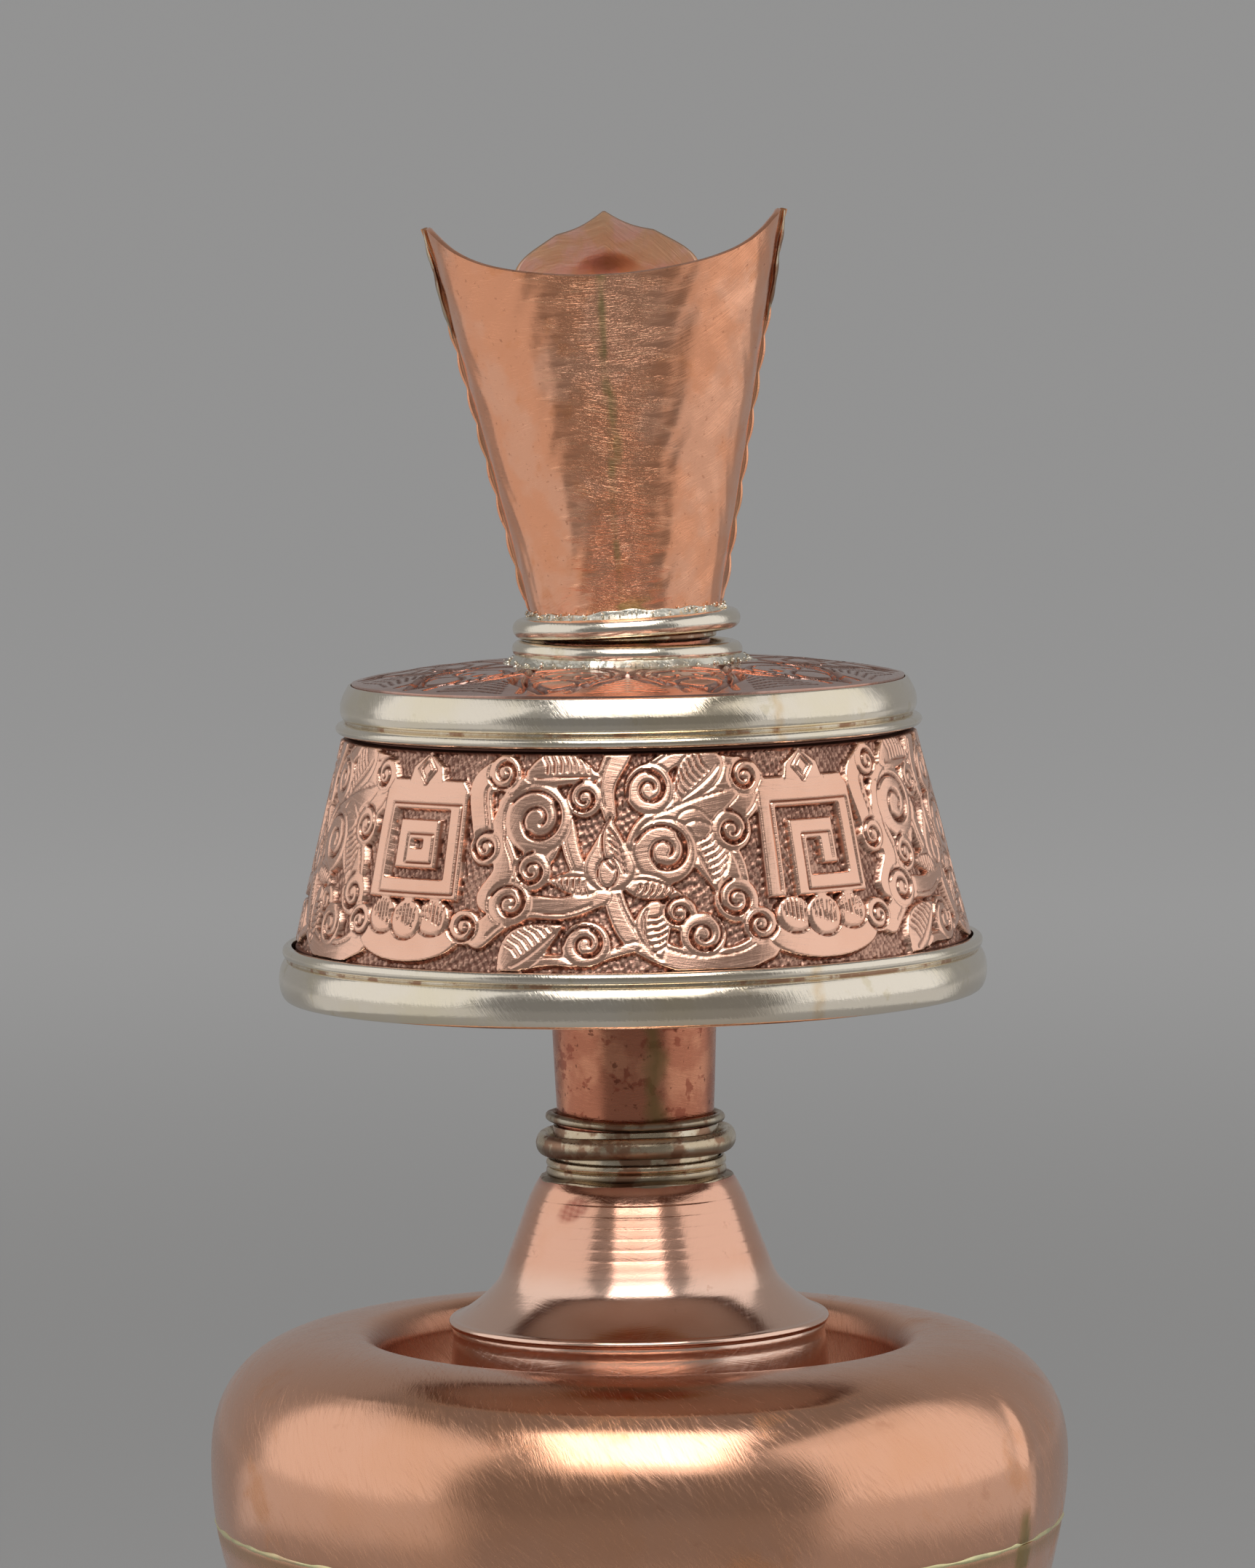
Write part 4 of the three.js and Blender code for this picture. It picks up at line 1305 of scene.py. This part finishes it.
def mouth_sheet(name, start, end, depth, edge, size, proud, values):
    """Sheet bent round the mouth's axis. proud and values read the angle from -Y and the height."""
    columns, count = size
    turn = np.radians(np.linspace(start, end, columns))
    tops = edge(np.cos(turn))
    share = np.linspace(0, 1, count)[:, None]
    height = SHELL_FOOT + (tops - SHELL_FOOT) * share
    turn = turn + 0 * height
    angle = np.arctan2(np.cos(turn), -np.sin(turn))
    out = proud(angle, height)
    rows = []
    for inset, lift in ((0, 0), (MOUTH_SHEET / 2, 0.18), (MOUTH_SHEET, 0)):
        part = slice(-1, None) if lift else slice(None, None, -1 if inset else 1)
        swell = (out * (1 - 0.35 * inset / MOUTH_SHEET) - inset)[part]
        level, t = height[part], turn[part]
        x = (grown(level, MOUTH_HALF_WIDTH) + swell) * np.cos(t)
        y = (grown(level, depth) + swell) * np.sin(t)
        rows.append(np.stack([x, y, level + lift], -1))
    rows = np.vstack(rows)
    # Unrolled, a sheet is about 44 mm wide, and its inner face lies 60 mm above its outer one.
    around = np.r_[np.linspace(0, 1, columns), 1] * 44
    upward = np.r_[height[:, 0], height[-1, 0] + 0.5, height[::-1, 0] + 60, 110]
    flat = np.stack(np.broadcast_arrays(around[None], upward[:, None]), -1)
    masks = {}
    for key, mask in values(angle, height).items():
        masks[key] = np.vstack([mask, mask[-1:], 0 * mask[::-1]])
    # inside: painted light, making the inner faces paler.
    masks["inside"] = np.vstack([0 * height, 0 * height[-1:], 1 + 0 * height])
    return grid_piece(name, rows, flat, MOUTH, False, masks, 50)


def back_dents(angle, height):
    """Hammered by eye: slow hollows, and a soft fold each side of the middle."""
    hollow = 0.07 * np.sin(3.1 * angle + height * 0.11) + 0.035 * np.sin(5.3 * angle - height * 0.13 + 1)
    ripple = 0.012 * np.sin(9 * angle + height * 0.3) + 0.01 * np.sin(height * 0.45 - 4 * angle)
    seam = 0.07 * ramp(-0.03, 0.03, angle + 0.05) * (1 - ramp(0.05, 0.3, angle))
    facets = 0.045 * np.sin(21 * angle + 1.6 * np.sin(height * 0.37))
    facets = facets * np.sin(height * 0.52 + 2 * np.sin(6 * angle) + 1)
    return (hollow + ripple + facets) * ramp(0, 8, height) + seam


def back_values(angle, height):
    along = angle + 0.045 - 0.012 * np.sin(height * 0.3)
    narrow = 1 - ramp(0.01, 0.05, abs(along))
    run = 0.35 + 0.65 * ramp(0.1, 0.7, np.sin(height * 0.35 + 0.6) * np.sin(height * 0.9 + 1))
    spots = sum(
        1 - ramp(0.4, 1, np.hypot((angle - a) / w, (height - h) / t))
        for a, h, w, t in ((-0.01, 29, 0.045, 3.6), (0.015, 24, 0.05, 3), (-0.04, 40, 0.03, 6))
    )
    ragged = 0.05 * np.sin(height * 2.1) + 0.03 * np.sin(height * 5)
    patch = (1 - ramp(0.09, 0.17, abs(angle - 0.1 + ragged))) * (1 - ramp(3.4, 6.2, height))
    filed = 1 - ramp(0.3, 0.46, abs(angle + 0.03 + 1.6 * ragged))
    return {"stain": np.clip(0.8 * narrow * run + 0.6 * spots, 0, 1), "braze": patch, "filed": filed}


def front_relief(angle, height):
    """Raised work on the leaf plate: a stem with curls to a bud. The scallops down both edges are raised in
    front_proud.
    """
    across = (math.pi - abs(angle)) * np.sign(angle) * 14
    relief = Relief(across, height, 0.0)
    relief.stroke(spline([(0, 3), (0.8, 14), (-0.8, 24), (0, 33)]), 3, 1.8, 0.9)
    for k in range(4):
        for side in (-1, 1):
            level = 7.5 + 6.6 * k
            branch = [(0, level - 3.5), (side * 3, level - 2), (side * 5.4, level)]
            relief.stroke(spline(branch), 1.8, 1.4, 0.85)
            relief.volute((side * (6.2 + 0.7 * k), level + 1.2), 2.4 + 0.16 * k, 90, side)
            relief.leaf((side * 1.4, level + 1.6), (side * 5.2, level + 5), 2.6, 0, 5, side)
    lotus_bud(relief, 0, 37.5)
    return relief


def front_proud(angle, height):
    relief = front_relief(angle, height)
    end = abs(abs(angle) - math.pi / 2) * 18
    lobe = 0.55 + 0.45 * abs(np.sin(height * math.pi / 4.6))
    border = lobe * ramp(0.2, 1.0, end) * (1 - ramp(3.4, 4.6, end)) * ramp(2, 5, height)
    boss = 1.3 * ramp(0, 1, 1 - np.hypot((math.pi - abs(angle)) * 14, height - 45.4) / 3.2)
    raised = np.clip(relief.height, -0.3, 1.0) * ramp(0, 3, height) * (1 - ramp(41, 43, height))
    return np.maximum(raised, 0.8 * border) + boss


def front_values(angle, height):
    stain = 0.25 * ramp(0.3, 0.9, np.sin(angle * 9 + height * 0.4))
    return {"stain": stain, "braze": 0.35 * ramp(36, 46, height)}


def horn_trim(name, node, side):
    """A strip of white metal folded over the outside of a horn, coming to a point at its tip."""
    count = 40
    height = np.linspace(TRIM_FOOT, HORN_TIP - 0.2, count)
    share = (height - TRIM_FOOT) / TRIM_LENGTH
    width = 1.15 * ramp(0, 0.4, share) * (1 - 0.75 * ramp(0.7, 1, share))
    thick = (0.34 + 0.05 * np.sin(height * 1.7)) * (1 - 0.7 * ramp(49, HORN_TIP, height))
    thick = thick * ramp(37, 42, height)
    centre = grown(height, MOUTH_HALF_WIDTH) + 0.42 + 0.08 * np.sin(height * 0.9)
    rows = []
    for step in range(12):
        turn = 2 * math.pi * step / 12
        rows.append(np.stack([
            side * (centre + thick * math.cos(turn)),
            (width + 0.12) * math.sin(turn) + 0 * height,
            height,
        ], -1))
    rows = np.array(rows)
    flat = np.stack(np.meshgrid(np.linspace(0, 15, count + 1), np.linspace(0, 6, 13)), -1)
    dark = 0.4 * (1 - ramp(42, HORN_TIP, height)) + 0.05
    trim = grid_piece(name, rows, flat, MOUTH, False, {"stain": dark}, 50)
    place(trim, "mouth", "tarnished_metal", node)


def mouth():
    back = mouth_sheet("mouth_plain_shell", 180 + SPLIT, 360 - SPLIT, BACK_DEPTH, back_edge, (240, 200),
                       back_dents, back_values)
    place(back, "mouth", "mouth_copper", "mouth_back_shell")
    front = mouth_sheet("mouth_leaf_plate", SPLIT, 180 - SPLIT, FRONT_DEPTH, front_edge, (220, 220),
                        front_proud, front_values)
    place(front, "mouth", "mouth_copper", "mouth_front_plate")
    horn_trim("left_horn_trim", "mouth_horn_trim_left", -1)
    horn_trim("right_horn_trim", "mouth_horn_trim_right", 1)

    inner, outer, bottom, top = extent("mouth_base_ring", MOUTH)
    ring = turned("mouth_ring_wire", round_wire(inner, outer, bottom, top), MOUTH, 224, 0.1, 31,
                  stain=lambda a, r, h: (1 - ramp(0, 0.9, h - bottom)) * (0.5 + 0.5 * np.sin(2 * a + 0.5)))
    place(ring, "mouth", "white_metal", "mouth_base_ring")

    def ragged(angle, radius, height):
        wild = 0.6 * np.sin(3 * angle + 1) + 0.4 * np.sin(7 * angle + 2) + 0.3 * np.sin(19 * angle)
        return 0.04 * np.sin(27 * angle), wild * 0.35 * ramp(2.7, 3.2, height)

    skirt = [(11.9, 1.6), (12.9, 1.6), (12.7, 2.3), (12.35, 2.8), (12.22, 3.3), (12.0, 3.3)]
    fill = turned("mouth_ring_solder", closed(skirt), MOUTH, 320, shift=ragged)
    place(fill, "mouth", "solder")
    inner, outer, bottom, top = extent("mouth_spigot", STACK)
    plug = [(outer - 2.15, bottom), (outer - 2.15, top - 0.7), (outer, top - 0.7), (outer, top), (inner, top),
            (inner, bottom)]
    place(turned("mouth_plug", plug, STACK, 128), "mouth", "tarnished_metal", "mouth_spigot")


# --- What repeats round a ring, by Geometry Nodes ---


def repeat_tree():
    """Copies of a shape along a route, each turned to it, with seeded unevenness of size and place."""
    tree = bpy.data.node_groups.new("repeat_along_route", "GeometryNodeTree")
    face = tree.interface
    face.new_socket("Route", in_out="INPUT", socket_type="NodeSocketGeometry")
    for label, kind in (("Shape", "Object"), ("Count", "Int"), ("Size", "Float"), ("Unevenness", "Float"),
                        ("Scatter", "Float"), ("Seed", "Int"), ("Metal", "Material")):
        face.new_socket(label, in_out="INPUT", socket_type="NodeSocket" + kind)
    face.new_socket("Pieces", in_out="OUTPUT", socket_type="NodeSocketGeometry")
    given, result = tree.nodes.new("NodeGroupInput"), tree.nodes.new("NodeGroupOutput")
    sockets = given.outputs
    curve = add(tree, "GeometryNodeMeshToCurve", ("Mesh", sockets["Route"])).outputs[0]
    points = add(tree, "GeometryNodeCurveToPoints", ("Curve", curve), ("Count", sockets["Count"]))
    low = math_node(tree, "SUBTRACT", 1.0, sockets["Unevenness"])
    high = math_node(tree, "ADD", 1.0, sockets["Unevenness"])
    chance = add(tree, "FunctionNodeRandomValue", ("Seed", sockets["Seed"]), data_type="FLOAT")
    tree.links.new(low, chance.inputs[2])
    tree.links.new(high, chance.inputs[3])
    size = math_node(tree, "MULTIPLY", chance.outputs[1], sockets["Size"])
    drift = add(tree, "FunctionNodeRandomValue", ("Seed", sockets["Seed"]), data_type="FLOAT_VECTOR")
    drift.inputs[0].default_value = (-1, -1, -1)
    links = (0, drift.outputs[0]), ("Scale", sockets["Scatter"])
    offset = add(tree, "ShaderNodeVectorMath", *links, operation="SCALE").outputs[0]
    links = ("Geometry", points.outputs["Points"]), ("Offset", offset)
    moved = add(tree, "GeometryNodeSetPosition", *links)
    shape = add(tree, "GeometryNodeObjectInfo", ("Object", sockets["Shape"])).outputs["Geometry"]
    copies = add(tree, "GeometryNodeInstanceOnPoints", ("Points", moved.outputs[0]), ("Instance", shape),
                 ("Rotation", points.outputs["Rotation"]), ("Scale", size))
    solid = add(tree, "GeometryNodeRealizeInstances", ("Geometry", copies.outputs[0]))
    links = ("Geometry", solid.outputs[0]), ("Material", sockets["Metal"])
    dressed = add(tree, "GeometryNodeSetMaterial", *links)
    tree.links.new(dressed.outputs[0], result.inputs[0])
    return tree


def repeated(name, route, shape, space, finish, count, size=1.0, unevenness=0.0, scatter=0.0, seed=1):
    """A plain mesh of copies of shape along a closed or open route of points in millimetres."""
    carrier = bpy.data.meshes.new(name + "_route")
    points = [tuple(Vector(space @ Vector(point)) * MM) for point in route]
    edges = [(i, i + 1) for i in range(len(points) - 1)]
    carrier.from_pydata(points, edges, [])
    holder = bpy.data.objects.new(name + "_route", carrier)
    bpy.context.scene.collection.objects.link(holder)
    modifier = holder.modifiers.new("repeat", "NODES")
    modifier.node_group = REPEAT
    values = {"Shape": shape, "Count": count, "Size": size, "Unevenness": unevenness,
              "Scatter": scatter * MM, "Seed": seed, "Metal": FINISHES[finish][0]}
    for item in REPEAT.interface.items_tree:
        if item.name in values:
            modifier[item.identifier] = values[item.name]
    bpy.context.view_layer.update()
    evaluated = holder.evaluated_get(bpy.context.evaluated_depsgraph_get())
    mesh = bpy.data.meshes.new_from_object(evaluated)
    mesh.name = name
    holder.modifiers.clear()
    bpy.data.objects.remove(holder)
    piece = bpy.data.objects.new(name, mesh)
    bpy.context.scene.collection.objects.link(piece)
    mesh.polygons.foreach_set("use_smooth", [True] * len(mesh.polygons))
    return piece


def stamp(name, size):
    """A small rounded grain, the shape that is repeated."""
    mesh = bpy.data.meshes.new(name)
    work = bmesh.new()
    bmesh.ops.create_icosphere(work, subdivisions=1, radius=1)
    bmesh.ops.scale(work, vec=Vector(size) * MM, verts=work.verts)
    work.to_mesh(mesh)
    work.free()
    return bpy.data.objects.new(name, mesh)


def circle(radius, height, points=180):
    turns = [2 * math.pi * i / points for i in range(points + 1)]
    return [(radius * math.sin(turn), -radius * math.cos(turn), height) for turn in turns]


def repeats():
    lid_level = extent("drum_top_plate", STACK)[3]
    grain = stamp("solder_grain", (0.3, 0.3, 0.12))
    grains = repeated("drum_ring_grains", circle(15.5, lid_level - 0.1), grain, STACK, "solder", 150,
                      1.0, 0.6, 0.35, 5)
    place(grains, "drum", "solder")
    ring_top = extent("mouth_base_ring", MOUTH)[3]
    grains = repeated("mouth_ring_grains", circle(12.45, ring_top + 0.5), grain, MOUTH, "solder", 110,
                      0.9, 0.6, 0.3, 8)
    place(grains, "mouth", "solder")
    _, outer, bottom, top = extent("mantra_roll", STACK)
    lay = stamp("thread_lay", (0.34, 0.9, 0.34))
    for k, level in enumerate(np.linspace(bottom + 4, top - 4, 4)):
        route = circle(outer + 0.2, level)
        thread = repeated(f"roll_thread_{k + 1}", route, lay, STACK, "binding_thread", 300,
                          1.0, 0.15, 0.04, k)
        place(thread, "drum", "binding_thread")
    bpy.data.objects.remove(grain)
    bpy.data.objects.remove(lay)


# --- Floor, lights and camera ---


def stage():
    """A pale floor that rises as a cove, far enough out for any view."""
    mesh = bpy.data.meshes.new("studio_floor")
    work = bmesh.new()
    start, rise, count = 3.4, 1.6, 96
    profile = [(1, 0), (2.2, 0), (start, 0)]
    for a in np.linspace(0.1, math.pi / 2, 14):
        profile.append((start + rise * math.sin(a), rise * (1 - math.cos(a))))
    profile.append((start + rise, 5))
    rings = []
    for radius, height in profile:
        turns = [2 * math.pi * i / count for i in range(count)]
        rings.append([work.verts.new((radius * math.cos(t), radius * math.sin(t), height)) for t in turns])
    work.faces.new(rings[0])
    for low, high in zip(rings, rings[1:]):
        for i in range(count):
            work.faces.new((low[i], high[i], high[(i + 1) % count], low[(i + 1) % count]))
    work.to_mesh(mesh)
    work.free()
    mesh.polygons.foreach_set("use_smooth", [True] * len(mesh.polygons))
    material = bpy.data.materials.new("pale_paper_floor")
    material.use_nodes = True
    tree = material.node_tree
    shader = tree.nodes["Principled BSDF"]
    shader.inputs["Base Color"].default_value = (0.36, 0.356, 0.352, 1)
    shader.inputs["Roughness"].default_value = 0.9
    shader.inputs["Specular IOR Level"].default_value = 0.1
    where = add(tree, "ShaderNodeTexCoord").outputs["Object"]
    far = add(tree, "ShaderNodeVectorMath", (0, where), operation="LENGTH").outputs["Value"]
    glow = mapped(tree, far, 0.3, 1.6, 0.03, 0.19)
    colour = add(tree, "ShaderNodeCombineColor", ("Red", glow), ("Green", glow), ("Blue", glow)).outputs[0]
    tree.links.new(colour, shader.inputs["Emission Color"])
    shader.inputs["Emission Strength"].default_value = 1.0
    mesh.materials.append(material)
    floor = bpy.data.objects.new("studio_floor", mesh)
    bpy.context.scene.collection.objects.link(floor)


LIGHT_DISTANCE = 1.15
LIGHT_TARGET = Vector((0, 0, 0.16))


def softbox(name, azimuth, elevation, size, radiance):
    """A rectangular light, aimed at the middle of the object. Azimuth runs from -Y towards +X."""
    a, e = math.radians(azimuth), math.radians(elevation)
    toward = Vector((math.sin(a) * math.cos(e), -math.cos(a) * math.cos(e), math.sin(e)))
    light = bpy.data.lights.new(name, "AREA")
    light.shape = "RECTANGLE"
    light.size, light.size_y = size
    light.energy = radiance * math.pi * size[0] * size[1]
    lamp = bpy.data.objects.new(name, light)
    lamp.location = LIGHT_TARGET + toward * LIGHT_DISTANCE
    lamp.rotation_euler = toward.to_track_quat("Z", "Y").to_euler()
    lamp.visible_camera = False
    bpy.context.scene.collection.objects.link(lamp)


def card(name, corners, radiance):
    """A panel that only shows in reflections, as a flag or a reflector does in a studio."""
    mesh = bpy.data.meshes.new(name)
    mesh.from_pydata(corners, [], [tuple(range(i, i + 4)) for i in range(0, len(corners), 4)])
    material = bpy.data.materials.new(name)
    material.use_nodes = True
    shader = material.node_tree.nodes["Principled BSDF"]
    shader.inputs["Base Color"].default_value = (0, 0, 0, 1)
    shader.inputs["Specular IOR Level"].default_value = 0
    shader.inputs["Emission Color"].default_value = (radiance, radiance * 0.99, radiance * 0.98, 1)
    shader.inputs["Emission Strength"].default_value = 1
    mesh.materials.append(material)
    panel = bpy.data.objects.new(name, mesh)
    bpy.context.scene.collection.objects.link(panel)
    panel.visible_camera = panel.visible_diffuse = panel.visible_shadow = False
    panel.visible_transmission = False


def cards():
    """Bright paper on the floor at both sides. In front, a dim floor card and a dim curved flag."""
    level, near, far = 0.002, 0.28, 1.1
    flag_radius, flag_height = 0.7, 0.42

    def sector(start, end, inner, outer):
        turns = np.radians(np.linspace(start, end, 9))
        quads = []
        for a, b in zip(turns, turns[1:]):
            for r, t in ((inner, a), (outer, a), (outer, b), (inner, b)):
                quads.append((r * math.sin(t), -r * math.cos(t), level))
        return quads

    for name, sign in (("left_floor_card", -1), ("right_floor_card", 1)):
        card(name, sector(sign * 48, sign * 128, near, far), 0.54)
    card("dark_floor_card", sector(-42, 42, 0.2, flag_radius), 0.235)
    turns = np.radians(np.linspace(-46, 46, 13))
    flag = []
    for a, b in zip(turns, turns[1:]):
        for t, height in ((a, 0.0), (b, 0.0), (b, flag_height), (a, flag_height)):
            flag.append((flag_radius * math.sin(t), -flag_radius * math.cos(t), height))
    card("dark_flag", flag, 0.19)


def lights():
    softbox("left_softbox", -86, 19, (1.6, 1.55), 0.51)
    softbox("right_softbox", 86, 19, (1.6, 1.55), 0.55)
    softbox("top_softbox", 0, 54, (0.9, 0.82), 3.2)
    softbox("top_softbox_edge", 0, 29.5, (0.9, 0.24), 1.1)
    world = bpy.data.worlds.new("studio_air")
    world.use_nodes = True
    world.node_tree.nodes["Background"].inputs["Color"].default_value = (0.2, 0.198, 0.196, 1)
    bpy.context.scene.world = world
    bpy.context.scene.view_settings.view_transform = "Standard"


def camera():
    data = bpy.data.cameras.new("camera")
    data.lens = 171.2
    data.sensor_width = 36
    eye, target = Vector((-1.533, -950, 233)) * MM, Vector((-1.533, 0, 158.6)) * MM
    view = bpy.data.objects.new("camera", data)
    view.location = eye
    view.rotation_euler = (target - eye).to_track_quat("-Z", "Y").to_euler()
    bpy.context.scene.collection.objects.link(view)
    bpy.context.scene.camera = view


camera()
REPEAT = repeat_tree()
belly()
foot()
collar()
neck()
chased_wall()
engraved_lid()
drum_wires()
drum_ring()
small_turnings()
mouth()
repeats()
stage()
cards()
lights()
